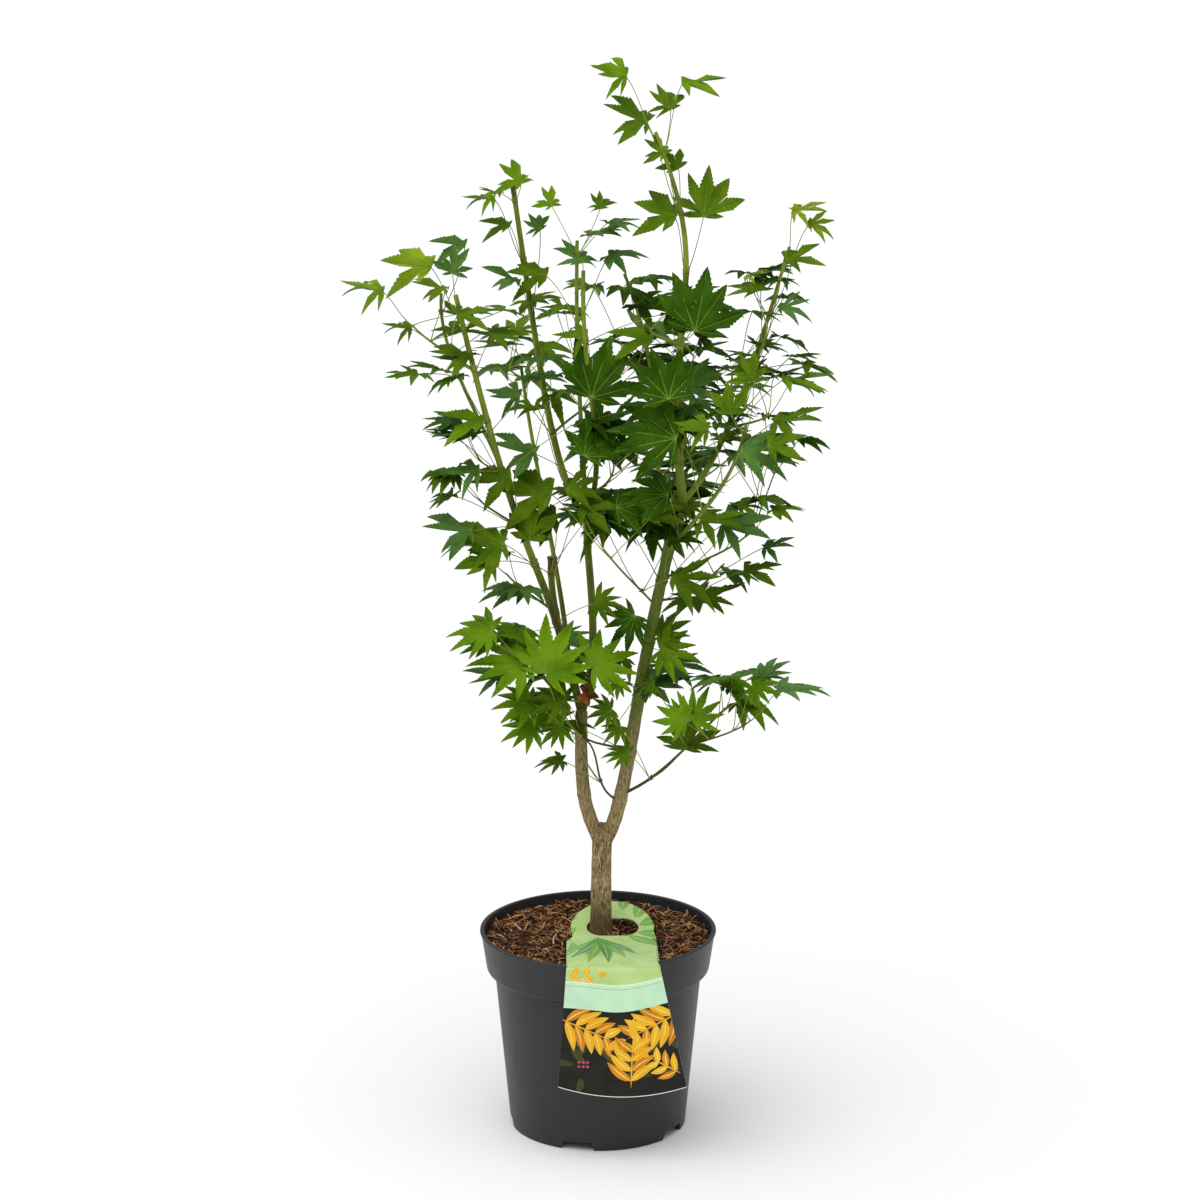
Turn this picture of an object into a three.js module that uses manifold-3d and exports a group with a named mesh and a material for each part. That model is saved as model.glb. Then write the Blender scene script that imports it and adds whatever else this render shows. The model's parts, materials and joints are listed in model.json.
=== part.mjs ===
// A young green-leaved maple in a round nursery container, with a bent plant tag over the rim.
// Millimetres, +Z up. The origin is on the pot's axis, on the surface that the pot stands on.
import * as THREE from 'three';
import { mergeVertices } from 'three/addons/utils/BufferGeometryUtils.js';
import Module from 'manifold-3d';

const wasm = await Module();
wasm.setup();

// ---- driving dimensions ----

const GAP = 0.3; // clearance between neighbouring pieces

const POT_HEIGHT = 164;
const POT_LIP_RADIUS = 95;
const POT_WALL = 1.5;
const POT_SEGMENTS = 30;
const FOOT_RADIUS = 70.8;
const FOOT_WIDTH = 3.5;
const BODY_TOP_RADIUS = 82.9;
const BODY_TOP = 126.5; // where the plain taper ends under the collar
const COLLAR_FOOT = 128.5;
const COLLAR_TURN = 131.5; // where the collar's flare turns upright
const COLLAR_RADIUS = 89.5;
const LIP_RADIUS_BELOW = 94;
const LIP_DEPTH = 2.5;
const INSIDE_LIP_RADIUS = 91.6;
const RING_PROUD = 0.7; // how far the ring under the collar stands out
const BASE_PLATE = 7.5; // underside of the raised base plate
const NOTCHES = 5;
const NOTCH_WIDTH = 28;
const NOTCH_TOP_WIDTH = 23;
const NOTCH_HEIGHT = 7;
const NOTCH_REACH = 20; // depth of the cut that makes a notch, across the foot ring
const FIRST_NOTCH = -103.5; // degrees round the axis, -90 being the front
const DRAIN_RADIUS = 5;
const DRAIN_CIRCLE = 48;

const COMPOST_TOP = 155.6;
const COMPOST_EDGE = 154.6; // where the compost meets the pot's wall
const COMPOST_UNEVEN = 1.4;
const COMPOST_SEAT_RADIUS = 16; // flat patch of compost under the stem
const COMPOST_RINGS = [70, 45, COMPOST_SEAT_RADIUS, 0];

const TAG_THICKNESS = 0.7;
const TAG_HANG = 98; // from the fold down to the lower edge
const TAG_FOLD_RADIUS = 3;
const TAG_STANDOFF = 2.2; // how far the hanging part stays clear of the lip
const TAG_CURL = 4; // how far the lower corners bend back round the pot
const TAG_STEPS = 4; // rows down the hanging part, and round the fold
const TAG_LIP_INSIDE = -73; // where the tag starts to dip towards the compost
const TAG_BOTTOM = { left: -31.6, right: 70.3, bow: 7 };
const TAG_FOLD = { left: -23.5, right: 49.5 };
const TAG_HOLE = { x: 11.8, halfWidth: 21, halfDepth: 12.6 };
const TAG_MARGIN = 0.2; // least share of the width kept beside the hole
const TAG_HEAD = {
  x: 11.5,
  radius: 33.5,
  start: { y: -14.4, z: 157.3 },
  slopes: [8, 26], // degrees, before the hole and at the round end
  reaches: [-22, -17, -12.6, -9, -3, 3, 9, 12.6, 18, 24, 30, 33],
};

const TRUNK_FLARE_HEIGHT = 14;
const TRUNK_FLARE = 1.2; // how much wider the foot is than the stem above it

const STEM_STEP = 26; // longest stretch between two rings of a limb
const MASS_LUMPS = 0.14; // depth of the lumps in a leaf mass, as a share of its radius
const BROAD_MASS = 2000; // half width times half depth above which a mass gets finer faces
const SMOOTHING = 0.08; // how far a cut mass may be simplified

const COLOURS = {
  pot: 0x2b2c2e,
  compost: 0x5a3622,
  tag: 0xb9dc8c,
  bark: 0x8c7a55,
  stem: 0x7c8a2f,
  leaf: 0x4c8a1c,
  youngLeaf: 0x86b02a,
};

// Each limb leaves its parent at a share of the parent's length. "out" and "into" are the handles
// of its curve at the two ends, and "thick" gives its diameter at the foot and at the tip.
const LIMBS = [
  { name: 'trunk', base: [2, 8, COMPOST_TOP + GAP], tip: [4, 6, 247],
    out: [1, 1, 30], into: [2, -2, 30], thick: [17.8, 15.4], tone: 'bark' },
  { name: 'left_stem', from: 'trunk', at: 0.88, tip: [-13, -2, 345],
    out: [-18, -1, 22], into: [1, 3, 38], thick: [11.4, 9.6], tone: 'bark' },
  { name: 'right_stem', from: 'trunk', at: 0.88, tip: [66, -30, 524],
    out: [22, -4, 16], into: [38, -12, 130], thick: [11.6, 8.2], tone: 'bark' },
  { name: 'middle_stem', from: 'left_stem', at: 1, tip: [-9, 44, 490],
    out: [18, 23, 48], into: [1, 6, 30], thick: [6.4, 5.8], tone: 'stem' },
  { name: 'left_bough', from: 'left_stem', at: 1, tip: [-109, -40, 690],
    out: [-38, 33, 150], into: [-56, -8, 250], thick: [6.8, 3.8], tone: 'stem' },
  { name: 'left_stub', from: 'left_bough', at: 0.18, tip: [-37, 24, 463],
    out: [-4, 10, 17], into: [1, 0, 21], thick: [5.6, 5.2], tone: 'stem' },
  { name: 'left_shoot', from: 'left_bough', at: 0.59, tip: [-122, 18, 680],
    out: [-13, 36, 30], into: [5, -2, 47], thick: [3.2, 2.4], tone: 'stem' },
  { name: 'tall_stub', from: 'middle_stem', at: 1, tip: [-67, 80, 753],
    out: [-27, 6, 40], into: [-24, -17, 176], thick: [5.8, 4], tone: 'stem' },
  { name: 'centre_bough', from: 'middle_stem', at: 1, tip: [-11, -66, 714],
    out: [20, -38, 75], into: [3, 3, 95], thick: [4.6, 3.2], tone: 'stem' },
  { name: 'centre_shoot', from: 'middle_stem', at: 1, tip: [-16, 0, 725],
    out: [-4, -9, 80], into: [2, 3, 84], thick: [4, 2.8], tone: 'stem' },
  { name: 'leader', from: 'right_stem', at: 1, tip: [44, -16, 812],
    out: [-19, -22, 170], into: [-49, 28, 118], thick: [7.4, 2.8], tone: 'stem' },
  { name: 'right_bough', from: 'right_stem', at: 1, tip: [150, 44, 712],
    out: [40, 62, 29], into: [20, 13, 65], thick: [5, 2.6], tone: 'stem' },
  { name: 'back_bough', from: 'right_stem', at: 0.86, tip: [21, 98, 680],
    out: [-15, 78, 45], into: [-36, -1, 88], thick: [4.4, 2.6], tone: 'stem' },
  { name: 'front_bough', from: 'right_stem', at: 0.86, tip: [112, -108, 604],
    out: [13, -44, 33], into: [8, 2, 51], thick: [4, 2.4], tone: 'stem' },
  { name: 'low_right_twig', from: 'right_stem', at: 0.15, tip: [104, -54, 368],
    out: [35, -18, 20], into: [30, -9, 30], thick: [2.6, 1.8], tone: 'stem' },
  { name: 'rear_bough', from: 'right_stem', at: 0.47, tip: [78, 128, 590],
    out: [10, 55, 50], into: [12, 20, 80], thick: [4.6, 2.6], tone: 'stem' },
  { name: 'rear_left_bough', from: 'left_bough', at: 0.11, tip: [-62, 122, 600],
    out: [-4, 50, 50], into: [-10, 16, 80], thick: [4.4, 2.6], tone: 'stem' },
];

// Each leaf mass sits beside a limb: a share of the limb's length, a shift from that point
// and the mass's half width, half depth and half height.
const MASSES = [
  { name: 'leader_top_leaves', on: 'leader', at: 1, shift: [3, 10, 28], half: [58, 40, 33], young: true },
  { name: 'leader_upper_leaves', on: 'leader', at: 0.8, shift: [5, 4, 12], half: [46, 38, 24] },
  { name: 'leader_middle_leaves', on: 'leader', at: 0.54, shift: [16, -14, -4], half: [36, 30, 28] },
  { name: 'leader_lower_leaves', on: 'leader', at: 0.3, shift: [-8, -18, 0], half: [38, 32, 34] },
  { name: 'leader_foot_leaves', on: 'right_stem', at: 0.95, shift: [-16, -10, 2], half: [40, 38, 22] },
  { name: 'right_tip_leaves', on: 'right_bough', at: 1, shift: [11, 2, 20], half: [28, 28, 28], young: true },
  { name: 'right_upper_leaves', on: 'right_bough', at: 0.86, shift: [0, 4, -4], half: [38, 36, 24] },
  { name: 'right_middle_leaves', on: 'right_bough', at: 0.55, shift: [24, 0, 8], half: [46, 42, 20] },
  { name: 'right_lower_leaves', on: 'right_bough', at: 0.3, shift: [34, -12, 2], half: [50, 42, 24] },
  { name: 'right_drop_leaves', on: 'right_bough', at: 0.1, shift: [42, -16, -28], half: [42, 38, 26] },
  { name: 'right_skirt_leaves', on: 'right_stem', at: 0.8, shift: [64, 12, -8], half: [38, 36, 18] },
  { name: 'right_tier_leaves', on: 'right_stem', at: 0.7, shift: [26, -20, 6], half: [44, 34, 15] },
  { name: 'right_low_leaves', on: 'right_stem', at: 0.52, shift: [26, -10, 14], half: [26, 30, 30] },
  { name: 'right_front_leaves', on: 'front_bough', at: 1, shift: [-4, -24, 2], half: [40, 38, 24] },
  { name: 'twig_end_leaves', on: 'low_right_twig', at: 1, shift: [30, 0, 8], half: [48, 42, 23] },
  { name: 'twig_side_leaves', on: 'low_right_twig', at: 0.55, shift: [2, 8, 24], half: [32, 30, 17] },
  { name: 'centre_top_leaves', on: 'centre_shoot', at: 1, shift: [18, 10, 4], half: [38, 34, 28] },
  { name: 'centre_upper_leaves', on: 'back_bough', at: 0.94, shift: [14, -32, 8], half: [34, 42, 22] },
  { name: 'centre_middle_leaves', on: 'centre_bough', at: 0.62, shift: [8, -16, 8], half: [28, 28, 27] },
  { name: 'centre_lower_leaves', on: 'centre_bough', at: 0.35, shift: [8, -26, 8], half: [40, 36, 24] },
  { name: 'centre_heart_leaves', on: 'middle_stem', at: 1, shift: [10, -42, 22], half: [40, 42, 22] },
  { name: 'centre_low_leaves', on: 'right_stem', at: 0.68, shift: [-26, -10, 6], half: [26, 26, 26] },
  { name: 'stub_top_leaves', on: 'tall_stub', at: 1, shift: [-2, -12, 0], half: [42, 34, 29], young: true },
  { name: 'stub_middle_leaves', on: 'tall_stub', at: 0.7, shift: [20, -28, 2], half: [46, 38, 26] },
  { name: 'stub_lower_leaves', on: 'tall_stub', at: 0.47, shift: [2, -32, -6], half: [34, 36, 22] },
  { name: 'left_top_leaves', on: 'left_bough', at: 1, shift: [-15, -4, 20], half: [40, 32, 25], young: true },
  { name: 'left_tip_leaves', on: 'left_bough', at: 1, shift: [-57, -10, 4], half: [29, 25, 14], young: true },
  { name: 'left_upper_leaves', on: 'left_bough', at: 0.9, shift: [6, 12, 8], half: [38, 34, 22] },
  { name: 'left_middle_leaves', on: 'left_bough', at: 0.77, shift: [-28, -6, 24], half: [46, 38, 16] },
  { name: 'left_spread_leaves', on: 'left_bough', at: 0.65, shift: [-24, -14, 14], half: [46, 36, 16] },
  { name: 'left_wide_leaves', on: 'left_bough', at: 0.55, shift: [-32, -30, 8], half: [48, 42, 18] },
  { name: 'left_drop_leaves', on: 'left_bough', at: 0.42, shift: [-28, -44, 12], half: [52, 44, 24] },
  { name: 'left_skirt_leaves', on: 'left_bough', at: 0.3, shift: [-30, -30, 6], half: [42, 38, 16] },
  { name: 'left_base_leaves', on: 'left_bough', at: 0.15, shift: [-44, -44, 6], half: [48, 42, 26] },
  { name: 'left_hem_leaves', on: 'left_stem', at: 1, shift: [-32, -18, 0], half: [40, 36, 27] },
  { name: 'front_fan_leaves', on: 'left_bough', at: 0.1, shift: [12, -54, 16], half: [40, 32, 30] },
  { name: 'rear_top_leaves', on: 'back_bough', at: 0.7, shift: [0, 30, 6], half: [46, 40, 26] },
  { name: 'rear_right_leaves', on: 'rear_bough', at: 1, shift: [20, 2, -6], half: [48, 40, 26] },
  { name: 'rear_middle_leaves', on: 'rear_bough', at: 0.62, shift: [8, 24, 16], half: [46, 42, 26] },
  { name: 'rear_left_leaves', on: 'rear_left_bough', at: 1, shift: [2, 4, 8], half: [50, 42, 28] },
];

// ---- solids ----

function solidFrom(geometry) {
  const bare = geometry.index ? geometry.clone() : geometry;
  bare.deleteAttribute('normal');
  bare.deleteAttribute('uv');
  const merged = mergeVertices(bare, 1e-4);
  return new wasm.Manifold(new wasm.Mesh({
    numProp: 3,
    vertProperties: new Float32Array(merged.attributes.position.array),
    triVerts: new Uint32Array(merged.index.array),
  }));
}

function geometryFrom(solid) {
  const mesh = solid.getMesh();
  const geometry = new THREE.BufferGeometry();
  geometry.setAttribute('position', new THREE.BufferAttribute(mesh.vertProperties, 3));
  geometry.setIndex(new THREE.BufferAttribute(mesh.triVerts, 1));
  geometry.computeVertexNormals();
  return geometry;
}

function boxesMeet(a, b) {
  const first = a.boundingBox();
  const second = b.boundingBox();
  return [0, 1, 2].every((k) => first.min[k] < second.max[k] && second.min[k] < first.max[k]);
}

function cutBy(solid, cutters) {
  const near = cutters.filter((cutter) => boxesMeet(solid, cutter));
  return near.reduce((rest, cutter) => rest.subtract(cutter), solid);
}

function largestPiece(solid) {
  return solid.decompose().reduce((best, piece) => (piece.volume() > best.volume() ? piece : best));
}

function nodeMesh(name, geometry, colour, roughness) {
  const material = new THREE.MeshStandardMaterial({ color: colour, roughness, metalness: 0 });
  const mesh = new THREE.Mesh(geometry, material);
  mesh.name = name;
  return mesh;
}

function lathe(profile, segments) {
  const points = profile.map(([radius, height]) => new THREE.Vector2(radius, height));
  return new THREE.LatheGeometry(points, segments).rotateX(Math.PI / 2);
}

// ---- pot and compost ----

// The inside of the wall, from the base plate up to the collar; "clear" draws it in from the wall.
function insideWall(clear) {
  const floor = BASE_PLATE + POT_WALL;
  const taper = (BODY_TOP_RADIUS - FOOT_RADIUS) / BODY_TOP;
  return [
    [FOOT_RADIUS + taper * floor - POT_WALL - clear, floor + clear],
    [BODY_TOP_RADIUS - POT_WALL - clear, BODY_TOP],
    [BODY_TOP_RADIUS - clear, COLLAR_FOOT + POT_WALL],
    [COLLAR_RADIUS - POT_WALL - clear, COLLAR_TURN + POT_WALL],
  ];
}

function potShell() {
  const ringRadius = BODY_TOP_RADIUS + RING_PROUD;
  const outside = [
    [0, BASE_PLATE],
    [FOOT_RADIUS - FOOT_WIDTH, BASE_PLATE],
    [FOOT_RADIUS - FOOT_WIDTH, 0],
    [FOOT_RADIUS, 0],
    [BODY_TOP_RADIUS, BODY_TOP],
    [ringRadius, BODY_TOP + RING_PROUD],
    [ringRadius, COLLAR_FOOT],
    [COLLAR_RADIUS, COLLAR_TURN],
    [LIP_RADIUS_BELOW, POT_HEIGHT - LIP_DEPTH],
    [POT_LIP_RADIUS, POT_HEIGHT - LIP_DEPTH + RING_PROUD],
    [POT_LIP_RADIUS, POT_HEIGHT],
    [INSIDE_LIP_RADIUS, POT_HEIGHT],
  ];
  const inside = insideWall(0).reverse();
  return solidFrom(lathe([...outside, ...inside, [0, BASE_PLATE + POT_WALL]], POT_SEGMENTS));
}

function notchCutter(index) {
  const outline = new THREE.Shape([
    new THREE.Vector2(-NOTCH_WIDTH / 2, -GAP),
    new THREE.Vector2(NOTCH_WIDTH / 2, -GAP),
    new THREE.Vector2(NOTCH_TOP_WIDTH / 2, NOTCH_HEIGHT),
    new THREE.Vector2(-NOTCH_TOP_WIDTH / 2, NOTCH_HEIGHT),
  ]);
  const wedge = new THREE.ExtrudeGeometry(outline, { depth: NOTCH_REACH, bevelEnabled: false });
  wedge.rotateX(Math.PI / 2).translate(0, FOOT_RADIUS + NOTCH_REACH / 2, 0);
  wedge.rotateZ(THREE.MathUtils.degToRad(FIRST_NOTCH - 90 + (index * 360) / NOTCHES));
  return solidFrom(wedge);
}

function drainCutter(index) {
  const drill = new THREE.CylinderGeometry(DRAIN_RADIUS, DRAIN_RADIUS, 4 * POT_WALL, 10);
  drill.rotateX(Math.PI / 2).translate(DRAIN_CIRCLE, 0, BASE_PLATE);
  drill.rotateZ(THREE.MathUtils.degToRad(FIRST_NOTCH + (index * 360) / NOTCHES));
  return solidFrom(drill);
}

function pot() {
  const cutters = [];
  for (let index = 0; index < NOTCHES; index += 1) {
    cutters.push(notchCutter(index), drainCutter(index));
  }
  return cutBy(potShell(), cutters);
}

// The compost fills the pot and has a slightly uneven top, flat under the stem.
function compost() {
  const wall = insideWall(GAP);
  const [collarRadius, collarHeight] = wall.at(-1);
  const rise = (COMPOST_EDGE - collarHeight) / (POT_HEIGHT - collarHeight);
  const edge = [THREE.MathUtils.lerp(collarRadius, INSIDE_LIP_RADIUS - GAP, rise) - GAP, COMPOST_EDGE];
  const top = COMPOST_RINGS.map((radius) => [radius, COMPOST_TOP]);
  const shape = lathe([[0, BASE_PLATE + POT_WALL + GAP], ...wall, edge, ...top], POT_SEGMENTS);
  const place = shape.attributes.position;
  for (let index = 0; index < place.count; index += 1) {
    const x = place.getX(index);
    const y = place.getY(index);
    const loose = place.getZ(index) > COMPOST_EDGE && Math.hypot(x, y) > 1.1 * COMPOST_SEAT_RADIUS;
    const bump = Math.sin(x * 0.13 + y * 0.05) + Math.sin(y * 0.17 - x * 0.04 + 2);
    place.setZ(index, place.getZ(index) + (loose ? (bump / 2) * COMPOST_UNEVEN : 0));
  }
  return solidFrom(shape);
}

// ---- plant tag ----

// The tag's centre line in the YZ plane, as rows across it: up the outside, over the lip and
// along above the compost. "down" is 1 at the lower edge and 0 from the fold on.
function tagLineRows() {
  const foldY = TAG_FOLD_RADIUS - POT_LIP_RADIUS - TAG_STANDOFF - TAG_THICKNESS / 2;
  const top = POT_HEIGHT + GAP + TAG_THICKNESS / 2;
  const foldZ = top - TAG_FOLD_RADIUS;
  const rows = [];
  for (let step = 0; step <= TAG_STEPS; step += 1) {
    const down = 1 - step / TAG_STEPS;
    rows.push({ y: foldY - TAG_FOLD_RADIUS, z: foldZ - TAG_HANG * down, down });
  }
  for (let step = 1; step <= TAG_STEPS; step += 1) {
    const turn = (step / TAG_STEPS) * (Math.PI / 2);
    const y = foldY - TAG_FOLD_RADIUS * Math.cos(turn);
    rows.push({ y, z: foldZ + TAG_FOLD_RADIUS * Math.sin(turn), down: 0 });
  }
  rows.push({ y: TAG_LIP_INSIDE, z: top, down: 0 });
  return rows;
}

// The head of the tag: rows at a reach from the hole's middle, rising more and more steeply.
function tagHeadRows() {
  const rows = [];
  const [first] = TAG_HEAD.reaches;
  const span = TAG_HEAD.reaches.at(-1) - first;
  let { y, z } = TAG_HEAD.start;
  TAG_HEAD.reaches.forEach((reach, index) => {
    const advance = index === 0 ? 0 : reach - TAG_HEAD.reaches[index - 1];
    const degrees = THREE.MathUtils.lerp(...TAG_HEAD.slopes, (reach - first) / span);
    const slope = THREE.MathUtils.degToRad(degrees);
    y += advance * Math.cos(slope);
    z += advance * Math.sin(slope);
    rows.push({ y, z, reach, down: 0 });
  });
  return rows;
}

function tagEdges(row) {
  if (row.reach === undefined) {
    return ['left', 'right'].map((side) => THREE.MathUtils.lerp(TAG_FOLD[side], TAG_BOTTOM[side], row.down));
  }
  const half = Math.sqrt(TAG_HEAD.radius ** 2 - Math.max(0, row.reach) ** 2);
  return [TAG_HEAD.x - half, TAG_HEAD.x + half];
}

// Four columns across each row: the two outer edges and the two sides of the hole.
function tagColumns(row) {
  const [left, right] = tagEdges(row);
  const margin = (right - left) * TAG_MARGIN;
  const bulge = crossesHole(row) ? Math.sqrt(TAG_HOLE.halfDepth ** 2 - row.reach ** 2) : 0;
  const half = TAG_HOLE.halfWidth - TAG_HOLE.halfDepth + bulge;
  const keep = (x) => THREE.MathUtils.clamp(x, left + margin, right - margin);
  return [left, keep(TAG_HOLE.x - half), keep(TAG_HOLE.x + half), right];
}

function crossesHole(row) {
  return row.reach !== undefined && Math.abs(row.reach) <= TAG_HOLE.halfDepth;
}

function plantTag() {
  const rows = [...tagLineRows(), ...tagHeadRows()];
  const middle = (TAG_BOTTOM.left + TAG_BOTTOM.right) / 2;
  const points = [];
  rows.forEach((row, index) => {
    const before = rows[Math.max(0, index - 1)];
    const after = rows[Math.min(rows.length - 1, index + 1)];
    const length = Math.hypot(after.y - before.y, after.z - before.z);
    const outY = ((before.z - after.z) / length) * (TAG_THICKNESS / 2);
    const outZ = ((after.y - before.y) / length) * (TAG_THICKNESS / 2);
    tagColumns(row).forEach((x) => {
      const side = ((x - middle) / (TAG_BOTTOM.right - middle)) ** 2;
      const y = row.y + TAG_CURL * row.down * side;
      const z = row.z + (row.down === 1 ? TAG_BOTTOM.bow * (side - 1) : 0);
      points.push(x, y + outY, z + outZ, x, y - outY, z - outZ);
    });
  });
  return solidFrom(sheetGeometry(rows, points));
}

// Quads over a grid four columns wide, left open where the middle column crosses the hole.
function sheetGeometry(rows, points) {
  const at = (row, column, face) => (row * 4 + column) * 2 + face;
  const filled = (row, column) => {
    if (row < 0 || column < 0 || row >= rows.length - 1 || column > 2) return false;
    return !(column === 1 && crossesHole(rows[row]) && crossesHole(rows[row + 1]));
  };
  const faces = [];
  const quad = (a, b, c, d) => faces.push(a, b, c, a, c, d);
  for (let row = 0; row < rows.length - 1; row += 1) {
    for (let column = 0; column < 3; column += 1) {
      if (!filled(row, column)) continue;
      const places = [[row, column], [row, column + 1], [row + 1, column + 1], [row + 1, column]];
      const top = places.map(([r, c]) => at(r, c, 0));
      const under = places.map(([r, c]) => at(r, c, 1));
      quad(...top);
      quad(...under.toReversed());
      const neighbours = [[row - 1, column], [row, column + 1], [row + 1, column], [row, column - 1]];
      neighbours.forEach(([nextRow, nextColumn], side) => {
        if (filled(nextRow, nextColumn)) return;
        const next = (side + 1) % 4;
        quad(top[side], under[side], under[next], top[next]);
      });
    }
  }
  const geometry = new THREE.BufferGeometry();
  geometry.setAttribute('position', new THREE.Float32BufferAttribute(points, 3));
  geometry.setIndex(faces);
  return geometry;
}

// ---- limbs ----

function limbCurve(limb, curves) {
  const base = limb.from ? curves.get(limb.from).getPointAt(limb.at) : new THREE.Vector3(...limb.base);
  const tip = new THREE.Vector3(...limb.tip);
  const leave = base.clone().add(new THREE.Vector3(...limb.out));
  const arrive = tip.clone().sub(new THREE.Vector3(...limb.into));
  return new THREE.CubicBezierCurve3(base, leave, arrive, tip);
}

function limbRadius(limb, share, length) {
  const plain = THREE.MathUtils.lerp(limb.thick[0], limb.thick[1], share) / 2;
  if (limb.from) return plain;
  const above = (share * length) / TRUNK_FLARE_HEIGHT;
  return plain * (1 + (TRUNK_FLARE - 1) * Math.max(0, 1 - above) ** 2);
}

// A closed tapering solid of rings along the limb's curve, with a blunt rounded tip.
function limbSolid(limb, curve, grow) {
  const length = curve.getLength();
  const rings = Math.max(5, Math.ceil(length / STEM_STEP));
  const sides = limb.thick[0] > 9 ? 8 : 5;
  const frames = curve.computeFrenetFrames(rings, false);
  const points = [];
  const faces = [];
  for (let ring = 0; ring <= rings; ring += 1) {
    const share = ring / rings;
    const centre = curve.getPointAt(share);
    const radius = limbRadius(limb, share, length) + grow;
    for (let side = 0; side < sides; side += 1) {
      const turn = (side / sides) * 2 * Math.PI;
      const spoke = frames.normals[ring].clone().multiplyScalar(Math.cos(turn) * radius);
      spoke.addScaledVector(frames.binormals[ring], Math.sin(turn) * radius);
      points.push(...centre.clone().add(spoke).toArray());
      const next = (side + 1) % sides;
      const here = ring * sides;
      if (ring < rings) {
        faces.push(here + side, here + next, here + sides + next);
        faces.push(here + side, here + sides + next, here + sides + side);
      }
    }
  }
  const foot = points.length / 3;
  const tipRadius = limb.thick[1] / 2 + grow;
  const endPoint = curve.getPointAt(1).addScaledVector(frames.tangents[rings], tipRadius * 0.5);
  points.push(...curve.getPointAt(0).toArray(), ...endPoint.toArray());
  for (let side = 0; side < sides; side += 1) {
    const next = (side + 1) % sides;
    faces.push(foot, next, side);
    faces.push(foot + 1, rings * sides + side, rings * sides + next);
  }
  if (!limb.from) levelFoot(points, sides, foot);
  const geometry = new THREE.BufferGeometry();
  geometry.setAttribute('position', new THREE.Float32BufferAttribute(points, 3));
  geometry.setIndex(faces);
  return solidFrom(geometry);
}

// The trunk's foot is cut level, so its first ring lies in one flat plane.
function levelFoot(points, sides, foot) {
  for (let side = 0; side < sides; side += 1) {
    points[side * 3 + 2] = points[foot * 3 + 2];
  }
}

function growLimbs() {
  const curves = new Map();
  const grown = [];
  const nodes = [];
  for (const limb of LIMBS) {
    const curve = limbCurve(limb, curves);
    curves.set(limb.name, curve);
    const body = largestPiece(cutBy(limbSolid(limb, curve, 0), grown));
    grown.push(limbSolid(limb, curve, GAP));
    nodes.push(nodeMesh(limb.name, geometryFrom(body), COLOURS[limb.tone], 0.8));
  }
  return { curves, grown, nodes };
}

// ---- leaf masses ----

// How far a mass swells or sinks in one direction; each mass has its own phase.
function lump(direction, phase) {
  const broad = Math.sin(direction.x * 2.7 + direction.z * 1.6 + phase);
  const cross = Math.sin(direction.y * 3.4 - direction.x * 1.9 + phase * 2.3);
  const small = Math.sin((direction.x + direction.y) * 5.1 + phase * 4.1);
  return 1 + MASS_LUMPS * (broad * 0.5 + cross * 0.35 + small * 0.35);
}

function massSolid(mass, index, centre, grow) {
  const broad = mass.half[0] * mass.half[1] > BROAD_MASS;
  const shape = new THREE.IcosahedronGeometry(1, broad ? 2 : 1);
  const place = shape.attributes.position;
  const direction = new THREE.Vector3();
  for (let corner = 0; corner < place.count; corner += 1) {
    direction.fromBufferAttribute(place, corner).normalize();
    const swell = lump(direction, index * 1.37);
    place.setXYZ(
      corner,
      centre.x + direction.x * (mass.half[0] * swell + grow),
      centre.y + direction.y * (mass.half[1] * swell + grow),
      centre.z + direction.z * (mass.half[2] * swell + grow),
    );
  }
  return solidFrom(shape);
}

function growMasses(curves, limbsGrown) {
  const taken = [...limbsGrown];
  return MASSES.map((mass, index) => {
    const centre = curves.get(mass.on).getPointAt(mass.at).add(new THREE.Vector3(...mass.shift));
    const body = largestPiece(cutBy(massSolid(mass, index, centre, 0), taken)).simplify(SMOOTHING);
    taken.push(massSolid(mass, index, centre, GAP + 0.1));
    const colour = mass.young ? COLOURS.youngLeaf : COLOURS.leaf;
    return nodeMesh(mass.name, geometryFrom(body), colour, 0.7);
  });
}

// ---- the whole plant ----

const plant = new THREE.Group();
plant.add(nodeMesh('pot', geometryFrom(pot()), COLOURS.pot, 0.45));
plant.add(nodeMesh('compost', geometryFrom(compost()), COLOURS.compost, 0.95));
plant.add(nodeMesh('plant_tag', geometryFrom(plantTag()), COLOURS.tag, 0.4));

const limbs = growLimbs();
plant.add(...limbs.nodes);
plant.add(...growMasses(limbs.curves, limbs.grown));

export default plant;
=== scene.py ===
"""A young green-leaved maple in a round nursery pot, with a bent plant tag over the rim.

Sizes are in millimetres until a mesh is made; every mesh is in metres, in the frame of the CAD model.
"""

import json
import logging
import random
from dataclasses import dataclass, field
from enum import Enum
from math import ceil, copysign, cos, dist, exp, hypot, pi, radians, sin, sqrt
from typing import Any, Iterable, Sequence

import bpy
import numpy as np
from mathutils import Matrix, Vector, noise
from mathutils.geometry import delaunay_2d_cdt

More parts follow.
